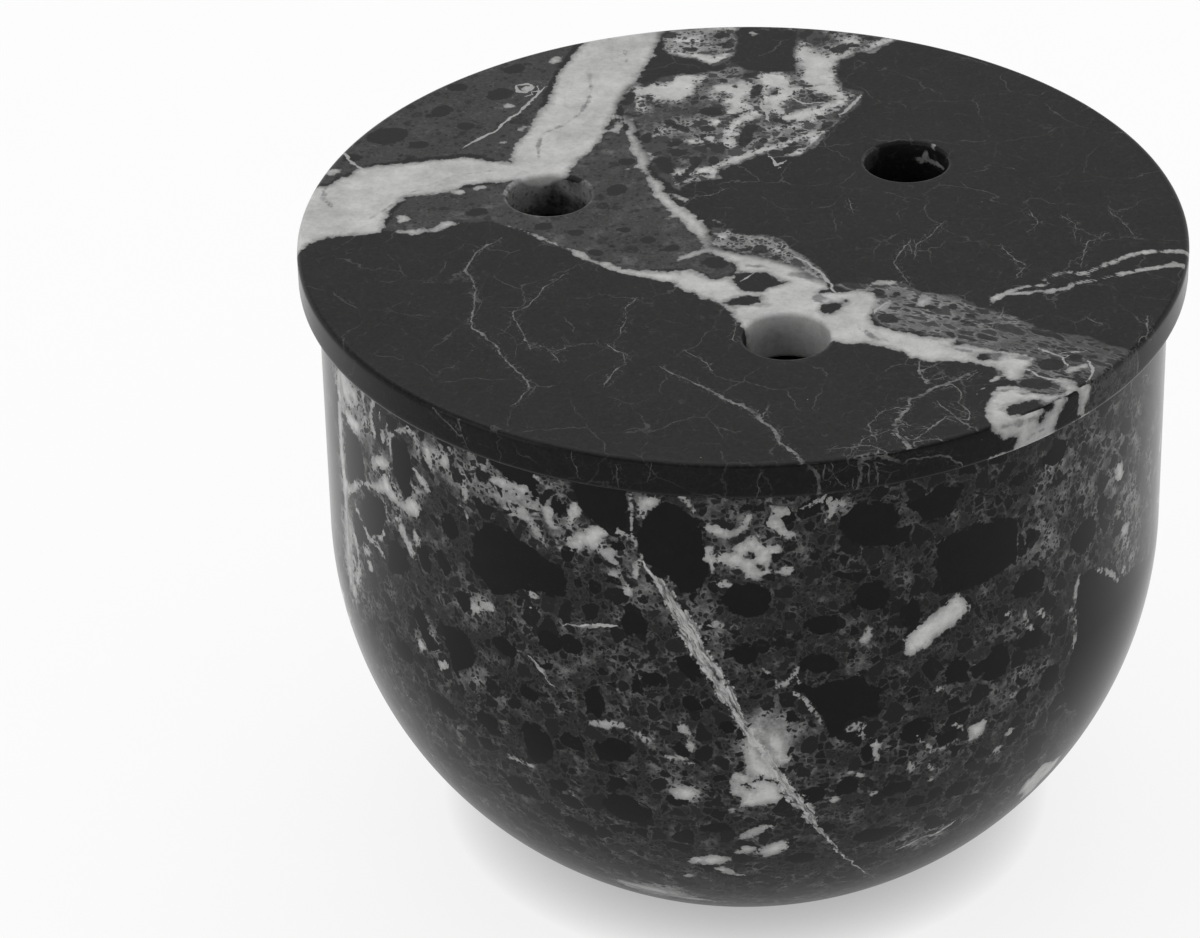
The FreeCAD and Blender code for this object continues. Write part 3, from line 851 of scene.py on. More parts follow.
# %% [markdown]
# ## The bowl's drawing
# Big dark fragments lie in a fine grey breccia, white chips are scattered between them, and one
# fibrous crack runs down across the front. A flat drawing, thrown on from the front, would smear
# where the side turns away. So it is drawn on the side unrolled: degrees round from the front, and
# millimetres down the side from the rim. Past the drawing's borders, and inside the bowl, the
# material grows its own fragments.

# %% Dark fragments on the bowl
# As on the lid, but the first number of each point or blob is degrees round from the front.
bowl_fragments = [
    [(-52.5, 7), (-51, 5.8), (-49, 6), (-48.3, 9), (-48.8, 14), (-50.5, 15.7), (-52.5, 13.5),
     (-53, 11)],
    [(-60.3, 20.5), (-56, 19.3), (-54.8, 20.5), (-55.5, 23.5), (-57, 26), (-60, 28), (-63, 25.5)],
    [(-55, 26), (-53.5, 24.8), (-50.5, 25), (-50, 28), (-52, 30.5), (-55, 31.5)],
    [(-37.5, 16), (-35, 12.5), (-33, 12), (-30, 13.5), (-24, 16.5), (-22.8, 18.5), (-23.5, 21.2),
     (-30, 22), (-32, 24), (-34.5, 24.8), (-37.8, 21.5)],
    [(-44.5, 35), (-42, 34), (-39.5, 34), (-37.8, 37), (-39, 40), (-41.5, 42), (-43, 38)],
    [(-22, 0), (-14.5, 0), (-15, 8), (-17, 8.5), (-19.5, 7.8), (-21.5, 5.5)],
    [(-13.5, 8.5), (-12, 5), (-10, 2.7), (-8, 3.5), (-5, 6.5), (-4.9, 10), (-4.2, 12.5), (-5, 15),
     (-6, 17.5), (-8, 17.8), (-9.5, 15), (-12.5, 13.5), (-13.8, 11)],
    [(-2.8, 18), (-1.5, 15.8), (1, 15.2), (3.5, 16.5), (3.9, 18.5), (2.5, 20.8), (0, 21.3),
     (-2, 20.3)],
    [(6.3, 33.5), (7.3, 32.3), (9, 34), (12, 32.7), (16, 34.5), (17.8, 36.5), (17.8, 40.3),
     (13, 41), (12.5, 42.8), (10.5, 42.8), (10, 39.5), (8, 36)],
    [(12, 6), (14.5, 3.5), (19.5, 4.5), (19.8, 11.8), (15, 11.3), (12, 8)],
    [(-20, 46.5), (-18.5, 44.3), (-16, 44.2), (-14.2, 46.5), (-15.5, 48.7), (-19, 48.8)],
    [(25, 14), (27, 12), (33, 11.8), (37, 13.5), (38, 15), (37.8, 21), (35, 22.3), (30, 22.5),
     (26, 22), (25.5, 18)],
    [(20.5, 5), (24, 4), (26, 3.4), (29, 4.5), (29, 6.5), (26.5, 9.3), (23.5, 9), (22.5, 7)],
    [(37, 26), (39, 23.5), (41, 23.3), (43, 26), (42.5, 28.3), (39, 28)],
    [(50, 30), (53, 30), (54, 31.5), (57, 33.5), (59.5, 36.5), (65, 38), (75, 42), (80, 55),
     (72, 62), (55, 62), (52, 56), (49, 53), (47.5, 50), (47.8, 45), (50, 41), (49.8, 35)],
    [(-67, 13), (-63, 12.3), (-61, 14), (-60.5, 18), (-63, 20), (-66, 23), (-67.3, 19)],
    # These two dark patches lie right under the rim, below the lid's overhang, and darken the top of
    # the side there.
    [(-44.6, 0), (-40.4, 0), (-40.6, 2.6), (-41.8, 3.2), (-44, 2.2)],
    [(-34.8, 0), (-27.4, 0), (-27.6, 3.3), (-29.8, 4.1), (-32, 3.8), (-34.3, 2.4)],
]
bowl_fragment_blobs = [
    (-64, 29.2, 2.7, 2, 90), (-41.5, 16.2, 2.2, 1.6, 90), (-46.6, 24.5, 2.5, 1.4, 90),
    (-52.6, 4, 2, 1.5, 0), (-28.5, 49, 4, 2.5, 80), (-26, 29.5, 2, 1.8, 0),
    (0, 27.5, 1.9, 1.7, 20), (9.8, 23.5, 2.5, 1.9, 0), (16.3, 19.7, 2.7, 2.6, 0),
    (9.6, 30, 2.7, 1.9, 0), (-16.7, 53.3, 1.8, 1.2, 90), (-16.3, 58.7, 3.7, 3, 10),
    (-14.2, 23.7, 2.2, 2, 90), (-6.5, 36.7, 1.6, 1.2, 30), (9, 54, 2, 1.9, 0),
    (13.4, 53, 2, 1.9, 0), (16.1, 47.2, 2.6, 1.4, 90), (-2.2, 40.5, 1.5, 1.4, 0),
    (-19.5, 38.2, 2.7, 1.5, 80), (-6.5, 30.8, 3.2, 1.1, 45), (37.6, 7.2, 1.6, 1.2, 0),
    (44, 5.8, 2.4, 2, 0), (50.7, 23.3, 3, 2.8, 0), (28.6, 36, 2.8, 1.9, 0),
    (34.8, 37.2, 3, 2.7, 0), (40.8, 35.8, 2.5, 2, 0), (21.9, 24, 2.3, 1.8, 90),
    (22.8, 44.9, 2.6, 2.2, 0), (27.7, 47.7, 2.2, 1.7, 0), (20.8, 55.4, 2.5, 1.5, 0),
    (54.8, 20.5, 1.9, 1.5, 90), (59.6, 27.2, 2, 1.7, 0), (39.9, 18, 1.4, 1.3, 0),
    (43.8, 58, 2.7, 1.9, 0), (-33, 33, 2.4, 1.7, 20), (-36, 48, 2.2, 1.8, 0),
    (-29, 40, 2, 1.5, 30), (-48, 36, 2.3, 1.8, 60), (-52, 44, 2.5, 2, 0), (-24, 66, 3, 2, 20),
    (-4, 61, 2, 1.4, 0), (18, 66, 2.6, 1.7, 15), (31, 60, 2.4, 1.8, 0), (8, 70, 2.2, 1.5, 0),
    (-33, 60, 2.6, 2, 0), (29, 68, 2.2, 1.4, 10), (-12, 33, 1.7, 1.2, 20), (3.5, 10.5, 1.2, 1, 0),
    (-44, 50, 2.4, 1.7, 30), (-26.5, 56.5, 1.8, 1.3, 0), (44.5, 45, 2.2, 1.9, 0),
    (36, 58.5, 1.8, 1.3, 0), (-9, 55, 1.6, 1.2, 0), (-24.1, 6.4, 2.1, 0.9, 90),
    (-27.4, 4.8, 1.2, 0.9, 90), (-16.1, 10.9, 1.1, 0.9, 0),
]
print("dark fragments on the bowl:", len(bowl_fragments) + len(bowl_fragment_blobs))

# %% White on the bowl
bowl_white_patches = [
    # the bar, the square and the chips at the right
    [(20.6, 28.4), (21.5, 31), (22.9, 31.1), (27.3, 28.2), (30.3, 26.1), (29.4, 23.6), (28.4, 22.8),
     (25.1, 25), (21.9, 26.9)],
    [(30.8, 47.3), (33.4, 46.5), (32.9, 49.7), (31, 49.9)],
    [(57.7, 16.2), (58.8, 15.4), (59.9, 16.2), (60.5, 18.8), (59.5, 19.2), (58.3, 18)],
    [(14.9, 26.8), (16, 24.7), (16.7, 25.2), (15.9, 27.3), (15.2, 27.6)],
    # round the crack
    [(0.2, 42), (1.5, 44.5), (3, 47), (4.5, 49.7), (3, 50), (0.6, 49), (-0.2, 46)],
    [(2.6, 41.5), (4, 40.8), (5.2, 43), (5.6, 46.5), (4.4, 47.6), (3.2, 45.5)],
    [(-1.8, 49.5), (-1.4, 48.7), (0, 49.2), (0.7, 50.6), (2.5, 50.3), (4, 50.6), (5.4, 53.8),
     (4.3, 55), (2.6, 55.6), (-0.5, 55.5), (-0.8, 53.6), (-1.8, 53)],
    # the cluster at the upper left
    [(-34.2, 4.6), (-32.5, 4.1), (-31, 4.2), (-29.8, 4.3), (-28.4, 3.9), (-28.2, 5), (-29.3, 6.3),
     (-30.6, 5.3), (-32.2, 5.9), (-34.2, 5.8)],
    [(-26.3, 6.7), (-25.2, 6.9), (-24.8, 8.7), (-23.8, 9.9), (-24.9, 10), (-26.1, 9)],
    [(-23.4, 9.8), (-22.9, 7.8), (-22.4, 6), (-22.1, 4.4), (-21.1, 5.2), (-20.8, 6.9), (-21.8, 7.7),
     (-22.2, 9.5)],
    [(-19.6, 7.9), (-17.4, 8.1), (-17, 9.4), (-18.4, 10.2), (-17.8, 11), (-18.8, 11.7), (-20.5, 12),
     (-22, 13.1), (-23.4, 12.6), (-23, 11.3), (-22, 10.7), (-22.2, 9.9), (-20.8, 9.4)],
    [(-18.9, 12), (-17.8, 11.5), (-16.4, 11.2), (-16.7, 12.5), (-16, 14.2), (-17.4, 13.7)],
    [(-13.6, 5.6), (-13.4, 3.8), (-13, 2.4), (-11.2, 2), (-10.4, 2.4), (-11.4, 3.3), (-12.3, 4.2),
     (-12.6, 5.4)],
    # the star right of the black fragment
    [(-5, 9.9), (-4.2, 9.4), (-3.8, 10.9), (-2.5, 10.7), (-1.5, 10.3), (-0.6, 8.9), (0.3, 7.9),
     (1.5, 7.6), (2.2, 8.8), (2.9, 9.5), (4, 9.4), (4.8, 10.2), (4.2, 11.1), (3.2, 11.2), (3.6, 12),
     (2.8, 13), (3.8, 13.9), (2.4, 14.4), (2.3, 15.3), (0.4, 15), (0.2, 13.9), (-0.3, 13),
     (-1.8, 12.9), (-2.6, 12.1), (-3.5, 12.4), (-4, 13.9), (-4.3, 12.5), (-5, 11.6)],
    [(-5.4, 5.7), (-4, 5.9), (-2.5, 6.4), (-1.5, 7.5), (-2.1, 8.1), (-3.6, 7.7), (-5, 6.8)],
    [(3.1, 4.9), (4.6, 4.8), (5.2, 6.3), (6.2, 7.6), (6.2, 8.4), (5.4, 8.2), (4, 7.1), (3.1, 6.2)],
    [(3.7, 3), (5.6, 3.3), (5.8, 4.3), (4.5, 4.7), (3.4, 4.2)],
    [(10.2, 1.4), (11.5, 2.5), (13.5, 3.3), (12.5, 3.9), (11.8, 4), (11.3, 5), (10.8, 3.5)],
    [(-3.6, 15.6), (-2.2, 15.2), (-1.7, 15.8), (-3, 16.5)],
    # beyond the left fragments
    [(-68.8, 3.6), (-66, 3.2), (-64.5, 4.2), (-62.3, 4), (-61.3, 6), (-63.5, 8.2), (-65.5, 8.6),
     (-67.7, 7.6)],
    [(-67.2, 9.5), (-64, 9.3), (-61.4, 9.6), (-61.7, 11.1), (-63, 12.1), (-66, 12.2)],
    [(-58.6, 14.9), (-58, 13), (-55.6, 11.4), (-54, 11.7), (-53, 12.3), (-54.5, 13.1),
     (-56.5, 14.1), (-57.7, 15.6)],
    [(-56.6, 16.6), (-55, 14.4), (-54, 14.7), (-53, 16), (-51, 16.9), (-50, 16), (-48, 14.4),
     (-46.9, 16), (-47.4, 18.1), (-49.5, 18.2), (-51.5, 17.9), (-54, 17.9)],
    [(-52.1, 20.7), (-50.8, 20.9), (-50.4, 22.4), (-49, 23.5), (-48.3, 25.7), (-49.3, 25.1),
     (-50.5, 23.9), (-52, 22.5)],
    [(-48.6, 20.4), (-47, 21.2), (-47.4, 22.6), (-49, 22.6)],
    [(-46.2, 3.4), (-44.5, 4.3), (-44.4, 6.9), (-42.9, 8), (-44, 8.7), (-45.6, 6.6)],
    [(-42.6, 3.9), (-41, 4.4), (-41.4, 6.6), (-42.6, 6.1)],
    [(-44.7, 41.6), (-43, 39.9), (-42.9, 42), (-44.3, 42.6)],
    # low down
    [(46, 68.5), (48.5, 65.5), (52, 67.5), (54.5, 68), (55.5, 71), (52.5, 73), (52, 76), (49, 75.5),
     (48, 72.5), (45.5, 71.5)],
]
bowl_white_and_sheen_blobs = [
    (-16.8, 15.8, 1.1, 0.5, -10), (-14.9, 18.2, 0.7, 0.9, 0), (-3.3, 22.7, 0.9, 0.35, 10),
    (5.5, 13.7, 0.9, 0.5, -20), (-28.4, 22.3, 0.8, 0.5, 20), (-28.8, 25, 0.4, 0.4, 0),
    (-13.1, 43.5, 1.1, 0.5, 25), (-8, 41, 1.3, 0.7, 70), (-7, 44.2, 0.6, 0.9, 0),
    (-8, 53.5, 2, 1.5, 0), (1.5, 61.6, 2.6, 0.9, -35), (0.1, 66.4, 1.8, 0.9, -20),
    (4, 66.3, 2.9, 1.5, -35), (-5.3, 70, 3.6, 1.4, -15), (-3.1, 73.4, 2, 1, 35),
    (-9, 76, 1, 0.6, 0), (-1, 75, 0.9, 0.5, 0), (25.9, 38.4, 0.7, 0.6, 0),
    (37.7, 44.5, 0.8, 0.5, -20), (61.8, 29, 1.3, 1.1, 0), (62.8, 32.5, 0.9, 0.7, 0),
    (61.8, 36, 0.7, 0.7, 0), (38, 51.6, 0.6, 0.5, 0), (36.5, 54.5, 0.9, 0.7, 30),
    (22.5, 51.6, 0.5, 0.9, 0), (17.5, 55.5, 0.8, 0.5, 0), (25.7, 55.5, 0.4, 0.4, 0),
    # Painted sheen: the two long blobs at 86 and 89 mm down stand in for a pale reflection low on the
    # bowl.
    (12, 55.5, 0.5, 0.4, 0), (-17, 86, 7, 1.6, 10), (-10, 89, 6, 1, 5), (-37.6, 28.4, 1.0, 0.8, 0),
    (-35.6, 27, 1.4, 0.7, 0), (-61.2, 31.6, 1.2, 0.9, 0), (-60.5, 34.2, 0.8, 1.1, 0),
    (-48.2, 40.4, 0.9, 0.9, 0), (-66.8, 42.5, 1, 1.4, 0), (-38.5, 9, 0.5, 1.2, 0),
    (-24.3, 58.4, 0.3, 0.8, 0), (-1.8, 56.6, 0.5, 0.5, 0),
]
# Holes of dark stone in the white, as ellipses.
bowl_white_holes = [
    (0.8, 10.8, 0.8, 0.6, 0), (2.2, 13, 0.7, 0.5, 0), (0.3, 51.4, 0.8, 0.4, 20),
    (-63.8, 6.9, 0.7, 0.5, 0), (-51.6, 17, 0.6, 0.3, 0),
]
bowl_white_ribbons = [
    # beside the long crack, and what joins it at the top
    [(-14.3, 1, 0.15), (-14.3, 4, 0.2), (-14.2, 8, 0.25), (-13.7, 10.5, 0.2), (-13, 12.5, 0.2)],
    [(-13.6, 13.5, 0.5), (-13.9, 16, 0.4)],
    [(-16.9, 9, 0.2), (-16, 8.2, 0.4), (-14.8, 8.7, 0.4), (-13.9, 9.8, 0.3)],
    [(-8, 0.8, 0.3), (-7, 2.2, 0.4), (-6.3, 3.8, 0.2)],
    [(-0.8, 6.8, 0.3), (0.3, 6, 0.4), (0.9, 4.3, 0.3)],
    [(7.4, 3.6, 0.3), (8.5, 2.6, 0.4), (9.7, 2.4, 0.2)],
    [(10.9, 4, 0.2), (10.6, 6.8, 0.15)],
    [(3.1, 0.6, 0.2), (3.3, 2.8, 0.2)],
    [(-27.6, 1.8, 0.3), (-25.6, 3.6, 0.3), (-24.4, 2.6, 0.3), (-23.6, 4.2, 0.2)],
    [(-30, 9.2, 0.3), (-28.4, 9.6, 0.3), (-27.3, 11.5, 0.4), (-25.8, 13, 0.3)],
    [(-24.6, 12, 0.4), (-23.9, 13.5, 0.3)],
    [(-33.5, 8.3, 0.2), (-31, 9.3, 0.3), (-29, 8, 0.3)],
    # slivers
    [(-20.4, 42.4, 0.1), (-18, 41.9, 0.7), (-15.6, 41.6, 0.35)],
    [(-11.2, 46.2, 0.15), (-9, 46.6, 0.45), (-6.8, 47.4, 0.3)],
    [(42, 31.4, 0.2), (42.8, 32.8, 0.35), (43.4, 34, 0.15)],
    [(-33.5, 53.8, 0.25), (-29.8, 54, 0.15)],
    # star, hook and splinters between the dark fragments
    [(2.2, 30.4, 0.1), (3.4, 31.6, 0.15), (4.2, 33, 0.3), (5, 33, 0.3), (6.2, 32, 0.4),
     (6.8, 30.5, 0.15)],
    [(3.8, 34, 0.25), (4.5, 32.8, 0.3)],
    [(6.5, 31.5, 0.3), (7.1, 33, 0.2)],
    [(6.4, 34.8, 0.3), (7.6, 35.8, 0.4), (8.6, 37.8, 0.35), (10, 40.3, 0.2)],
    [(13.4, 42.3, 0.3), (14.6, 41.4, 0.6), (15.4, 41.6, 0.4), (14.8, 43, 0.3), (15.7, 44.2, 0.35)],
    [(16.5, 44.6, 0.2), (17.3, 45.8, 0.5), (17.2, 47.4, 0.35), (17.5, 49, 0.15)],
    [(13.8, 50.2, 0.2), (15.2, 51.3, 0.35)],
    [(36.2, 29.4, 0.3), (37, 30.5, 0.2), (38.4, 31.9, 0.1)],
    [(39.4, 30.8, 0.15), (39.9, 33, 0.35), (41.2, 34.6, 0.1), (43.4, 37.4, 0.1)],
    [(38, 34.6, 0.1), (38.8, 33.4, 0.15), (39.9, 33.2, 0.25)],
    [(49.9, 30, 0.15), (49.3, 32.6, 0.25), (48.5, 34.8, 0.25)],
    [(49.4, 36.5, 0.12), (49.4, 43, 0.2)],
    [(53.6, 31.2, 0.25), (56, 32.6, 0.25), (58.4, 34.8, 0.45), (60, 36.9, 0.4)],
    [(22.8, 45.8, 0.1), (24.4, 47.9, 0.25), (25.2, 49.6, 0.3), (26.6, 49.7, 0.3),
     (28.6, 48.9, 0.35), (29.5, 48.4, 0.15)],
    [(28.2, 45.5, 0.25), (29.7, 46.9, 0.2)],
    [(24.8, 51, 0.1), (25.6, 53.3, 0.2)],
    # the white net round the fragments at the left
    [(-68.2, 2, 1.0), (-68.9, 9, 0.8), (-69.1, 15, 1.0), (-69.2, 20, 0.9), (-68.2, 24, 1.3),
     (-68.8, 29, 0.8), (-68.5, 35, 0.8), (-68.2, 42, 0.9)],
    [(-67, 24.5, 0.9), (-64.5, 22.5, 0.7), (-62, 20, 0.5), (-59.5, 18.8, 0.45), (-57.4, 18, 0.6),
     (-55.5, 17, 0.9)],
    [(-60, 2.6, 0.35), (-59.5, 7.6, 0.5)],
    [(-57, 2.8, 0.4), (-58.1, 6, 0.45), (-57.2, 8.6, 0.5)],
    [(-55.4, 3.6, 0.25), (-55, 8.4, 0.35)],
    [(-53.9, 2, 0.15), (-53.9, 8, 0.15)],
    [(-53, 10.5, 0.2), (-53.4, 7, 0.3), (-51.6, 5.1, 0.25), (-50, 4, 0.35), (-49, 3, 0.45),
     (-47.5, 3.8, 0.4), (-46.9, 6, 0.2)],
    [(-53.9, 13.4, 0.25), (-52.6, 15.3, 0.3), (-51, 16, 0.2)],
    [(-55.2, 19.2, 0.2), (-54.8, 22, 0.25), (-53.5, 21.6, 0.3), (-51.5, 19.8, 0.3)],
    [(-64.6, 25.8, 0.35), (-62, 27, 0.3), (-60.3, 28.7, 0.35), (-57.6, 28.5, 0.45),
     (-56, 29.3, 0.3)],
    [(-58.6, 27.4, 0.3), (-56.6, 26.6, 0.4), (-55.8, 24.8, 0.25)],
    [(-66.8, 30.5, 0.6), (-65.2, 32, 0.5), (-64.4, 34, 0.4), (-64.2, 37, 0.5), (-65.4, 39.6, 0.7)],
    [(-67.5, 36.5, 0.3), (-66, 36, 0.3), (-65, 37.8, 0.3), (-66.5, 39, 0.3), (-67.5, 37.5, 0.3)],
    [(-48, 9.6, 0.3), (-46.2, 11, 0.4), (-44.8, 12.2, 0.2)],
    [(-48.6, 12.6, 0.2), (-46.8, 13.4, 0.25)],
    [(-41, 9.6, 0.2), (-39.4, 11.8, 0.25), (-38, 13.6, 0.1)],
]
bowl_threads = [
    # the long crack, and finer ones
    [(-12.8, 13.3, 0.3), (-11.3, 15.4, 0.5), (-9.8, 18, 1.0), (-8.6, 20.5, 1.1), (-7.4, 23, 1.5),
     (-6, 27, 1.5), (-4.5, 30.2, 1.3), (-3, 33.5, 1.4), (-1.5, 37, 0.9), (0, 40.5, 0.8),
     (2, 44.5, 0.9), (4, 48.8, 0.9), (6, 53.3, 1.2), (8.3, 57.5, 1.1), (9.8, 61, 0.5),
     (12, 66, 0.25), (14, 70, 0.2), (17, 75, 0.15), (19.5, 79, 0.1), (22, 83, 0.05)],
    thread(0.25, (24, 72.5), (27, 71), (29, 71.5), (32, 69.5)),
    [(-23.3, 26.1, 0.15), (-20, 25.3, 0.3), (-17.3, 24.6, 0.35)],
    [(-28.6, 33.7, 0.15), (-27.2, 35.2, 0.35), (-26.1, 37.1, 0.15)],
    # round the back, in the same style
    thread(0.9, (118, 0), (124, 12), (121, 22), (128, 35), (131, 48), (138, 60), (140, 72),
           (146, 84)),
    thread(0.4, (124, 12), (133, 18), (139, 16), (149, 25), (152, 36)),
    thread(0.6, (-168, 2), (-160, 14), (-163, 26), (-152, 38), (-149, 52), (-140, 60)),
    thread(0.5, (-92, 30), (-100, 36), (-104, 48), (-112, 55), (-114, 68)),
]
# Where the cement is whiter, and low down where it is lightened as a painted sheen: an ellipse and how
# much to add.
bowl_cement_and_sheen = [
    ((-64, 7.5, 7, 5, 0), 0.35), ((-36, 5, 13, 4.5, 0), 0.29), ((-69, 28, 18, 2.5, 90), 0.35),
    ((-56, 17, 10, 6, -20), 0.2), ((52, 15, 16, 13, 0), 0.13), ((0, 9, 8, 5.5, 0), 0.14),
    ((-24, 10, 9, 4, 10), 0.16), ((38, 31, 4, 3, 0), 0.15), ((27, 49, 8, 4, 0), 0.12),
    ((-20, 32, 12, 9, 0), 0.06), ((2.6, 43, 4.2, 6.2, 10), 0.41), ((-6, 24, 4, 8, -20), 0.16),
    # Painted sheen: the ellipse at -16 degrees, 86 mm down, lightens the bottom as a pale reflection
    # would.
    ((28, 71, 6, 3, 0), 0.2), ((63, 30, 5, 9, 0), 0.2), ((-16, 86, 8, 4, 0), 0.4),
    ((5, 2, 22, 3, 0), 0.05), ((-66, 36, 4, 9, 0), 0.25), ((-14, 14, 4, 5, 0), 0.2),
    # Painted sheen: the wide band at 93 mm down lightens the whole bottom as a pale reflection would.
    ((0, 93, 70, 7, 0), 0.12), ((8, 50, 9, 9, 0), 0.06), ((-37, 28, 4, 3, 0), 0.25),
    ((-38, 41, 3, 2.5, 0), 0.25), ((-47, 38, 4, 3, 0), 0.2), ((-8, 53, 3, 2.5, 0), 0.3),
    ((38, 43, 5, 3, 0), 0.15), ((12, 5, 3, 3, 0), 0.15),
    # round the back
    ((150, 20, 16, 9, 20), 0.3), ((-112, 12, 16, 7, -15), 0.34), ((-140, 46, 13, 12, 0), 0.2),
    ((100, 58, 12, 9, 0), 0.2), ((85, 10, 12, 6, 0), 0.15), ((170, 66, 12, 7, 30), 0.25),
]
print("white on the bowl:", len(bowl_white_patches), "patches,", len(bowl_white_and_sheen_blobs), "blobs,",
      len(bowl_white_ribbons), "ribbons and", len(bowl_threads), "threads")

# %% Read the bowl's drawing at every point
bowl_mm_per_degree = math.radians(1) * belly_radius
drawn_half = (66, 90)               # degrees from the front and mm down where the drawing ends
wild_border = 8                     # degrees or mm over which the material's own stone takes over
inside_down = 60                    # mm down: further down, the outside's drawing runs through
plain_cement, inner_cement = 0.2, 0.25      # whiteness where nothing is drawn, and inside the bowl


def unrolled(points):
    """Degrees round from the front, and mm down the side: straight above the belly, an arc below."""
    azimuth = np.degrees(np.arctan2(points[:, 0], -points[:, 1]))
    below = np.clip((belly_height - points[:, 2]) / round_radius, 0, 1)
    upright = rim_height - np.maximum(points[:, 2], belly_height)
    return azimuth, upright + round_radius * np.arcsin(below)


def inside_bowl(points, down):
    """Which points are on the inner wall or the floor."""
    inner_wall = np.hypot(points[:, 0], points[:, 1]) < mouth_radius + wall_thickness / 2
    return inner_wall & (points[:, 2] > floor_thickness / 2) & (down < inside_down)


def bowl_readings(points):
    """All drawings of the bowl, read at points on it."""
    azimuth, down = unrolled(points)
    plan = np.stack([azimuth * bowl_mm_per_degree, down], axis=-1)
    inside = inside_bowl(points, down)
    off_inside = -FAR * inside

    def drawn(way, drawing):
        return way(plan, *in_mm(drawing, bowl_mm_per_degree))

    fragments = np.maximum(drawn(patches, bowl_fragments), drawn(blobs, bowl_fragment_blobs))
    white = np.maximum(drawn(patches, bowl_white_patches), drawn(blobs, bowl_white_and_sheen_blobs))
    white = np.maximum(white, drawn(ribbons, bowl_white_ribbons))
    white = np.minimum(white, -drawn(blobs, bowl_white_holes))
    vein, vein_near, vein_width = drawn(threads, bowl_threads)
    cement = np.full(len(plan), plain_cement)
    for ellipse, change in bowl_cement_and_sheen:
        cement = cement + change * smooth_step(drawn(blobs, [ellipse]), -2, 2)
    wild = np.maximum(smooth_step(np.abs(azimuth), drawn_half[0], drawn_half[0] + wild_border),
                      smooth_step(down, drawn_half[1], drawn_half[1] + wild_border))
    return {
        "white": white + off_inside, "clast": fragments + off_inside,
        "cement": np.where(inside, inner_cement, cement), "vein": vein,
        "vein_near": vein_near - off_inside, "vein_width": vein_width,
        "wild": np.where(inside, 1.0, wild),
    }


store(bowl_stone, **bowl_readings(points_of(bowl_stone)))

# %% [markdown]
# ## A short way to write a shader
# A marble needs dozens of Math nodes. Written out one by one they hide the recipe, so a wire is a
# socket that can be added and multiplied like a number, and each sum adds its own Math node.

# %% Wires and the nodes behind them
board = None                        # the node tree that is being drawn on


class Wire:
    """One output socket. Adding, subtracting or multiplying wires puts a Math node on the board."""

    def __init__(self, socket):
        self.socket = socket

    def __add__(self, other):
        return calculated("ADD", self, other)

    def __sub__(self, other):
        return calculated("SUBTRACT", self, other)

    def __mul__(self, other):
        return calculated("MULTIPLY", self, other)

    def __rsub__(self, other):
        return calculated("SUBTRACT", other, self)

    __radd__ = __add__
    __rmul__ = __mul__

    def beside(self, output):
        """Another output of the same node."""
        return Wire(self.socket.node.outputs[output])


def new_node(kind, inputs, output=0, **settings):
    """A node on the board with its settings. A wire is linked to its input, a plain value is set on
    it. Gives the wire from the output."""
    node = board.nodes.new("ShaderNode" + kind)
    for name, value in settings.items():
        setattr(node, name, value)
    for name, value in inputs.items():
        if isinstance(value, Wire):
            board.links.new(value.socket, node.inputs[name])
        else:
            node.inputs[name].default_value = value
    return Wire(node.outputs[output]) if node.outputs else None


def calculated(operation, a, b=0.0):
    return new_node("Math", {0: a, 1: b}, operation=operation)


def greater(a, b):
    return calculated("MAXIMUM", a, b)


def turning(value, low, high):
    """0 below low, 1 above high, with a smooth turn between."""
    ends = {"Value": value, "From Min": low, "From Max": high}
    return new_node("MapRange", ends, interpolation_type="SMOOTHSTEP")


def blended(share, a, b):
    """a where share is 0, b where it is 1."""
    return new_node("Mix", {"Factor": share, "A": a, "B": b})


def reading(name):
    """An attribute that the drawing stored on the mesh."""
    return new_node("Attribute", {}, "Fac", attribute_name=name)


# %% Places and noise
def place_in_mm():
    """The point on the stone in millimetres, from its Object coordinates in metres."""
    metres = new_node("TexCoord", {}, "Object")
    return new_node("VectorMath", {0: metres, "Scale": 1 / MM}, operation="SCALE")


def noise(place, size, detail=4.0, roughness=0.6, output="Fac"):
    """Cloudy noise with lumps of that size in mm, from about -1 to 1. Its Color stays 0 to 1."""
    inputs = {"Vector": place, "Scale": 1 / size, "Detail": detail, "Roughness": roughness}
    cloud = new_node("TexNoise", inputs, output)
    return cloud if output == "Color" else cloud * 4.0 - 2.0


def moved(place, size, distance, detail=3.0):
    """The place shifted by noise, up to about that distance in mm."""
    shift = noise(place, size, detail, output="Color")
    reach = (2 * distance,) * 3
    return new_node("VectorMath", {0: shift, 1: reach, 2: place}, operation="MULTIPLY_ADD")


def shifted(place, *step):
    """The place moved by a fixed step, so that two patterns from it don't line up."""
    return new_node("VectorMath", {0: place, 1: step})


def laid_over(place, turn, stretch):
    """The place turned about Z and squeezed along its X, so that a pattern there runs that many times
    longer along the direction `turn` degrees from X."""
    inputs = {"Vector": place, "Rotation": (0, 0, math.radians(turn)), "Scale": (stretch, 1.0, 1.0)}
    return new_node("Mapping", inputs, vector_type="TEXTURE")


# %% Cells of broken stone
def voronoi(place, size, output="Distance", **settings):
    """Cells about that size in mm. The distances that it gives are shares of the size."""
    return new_node("TexVoronoi", {"Vector": place, "Scale": 1 / size}, output, **settings)


def own_numbers(cell_colour):
    """Each cell has a colour of its own; two of its channels are two numbers from 0 to 1."""
    first = new_node("SeparateColor", {0: cell_colour})
    return first, first.beside(1)


def cells(place, size):
    """How deep the place lies inside its cell, in mm, and the cell's own two numbers."""
    depth = voronoi(place, size, feature="DISTANCE_TO_EDGE") * size
    return depth, *own_numbers(voronoi(place, size, "Color"))


def seeds(place, size):
    """How far the place lies from its cell's middle, in mm, and the cell's own two numbers."""
    away = voronoi(place, size)
    return away * size, *own_numbers(away.beside("Color"))


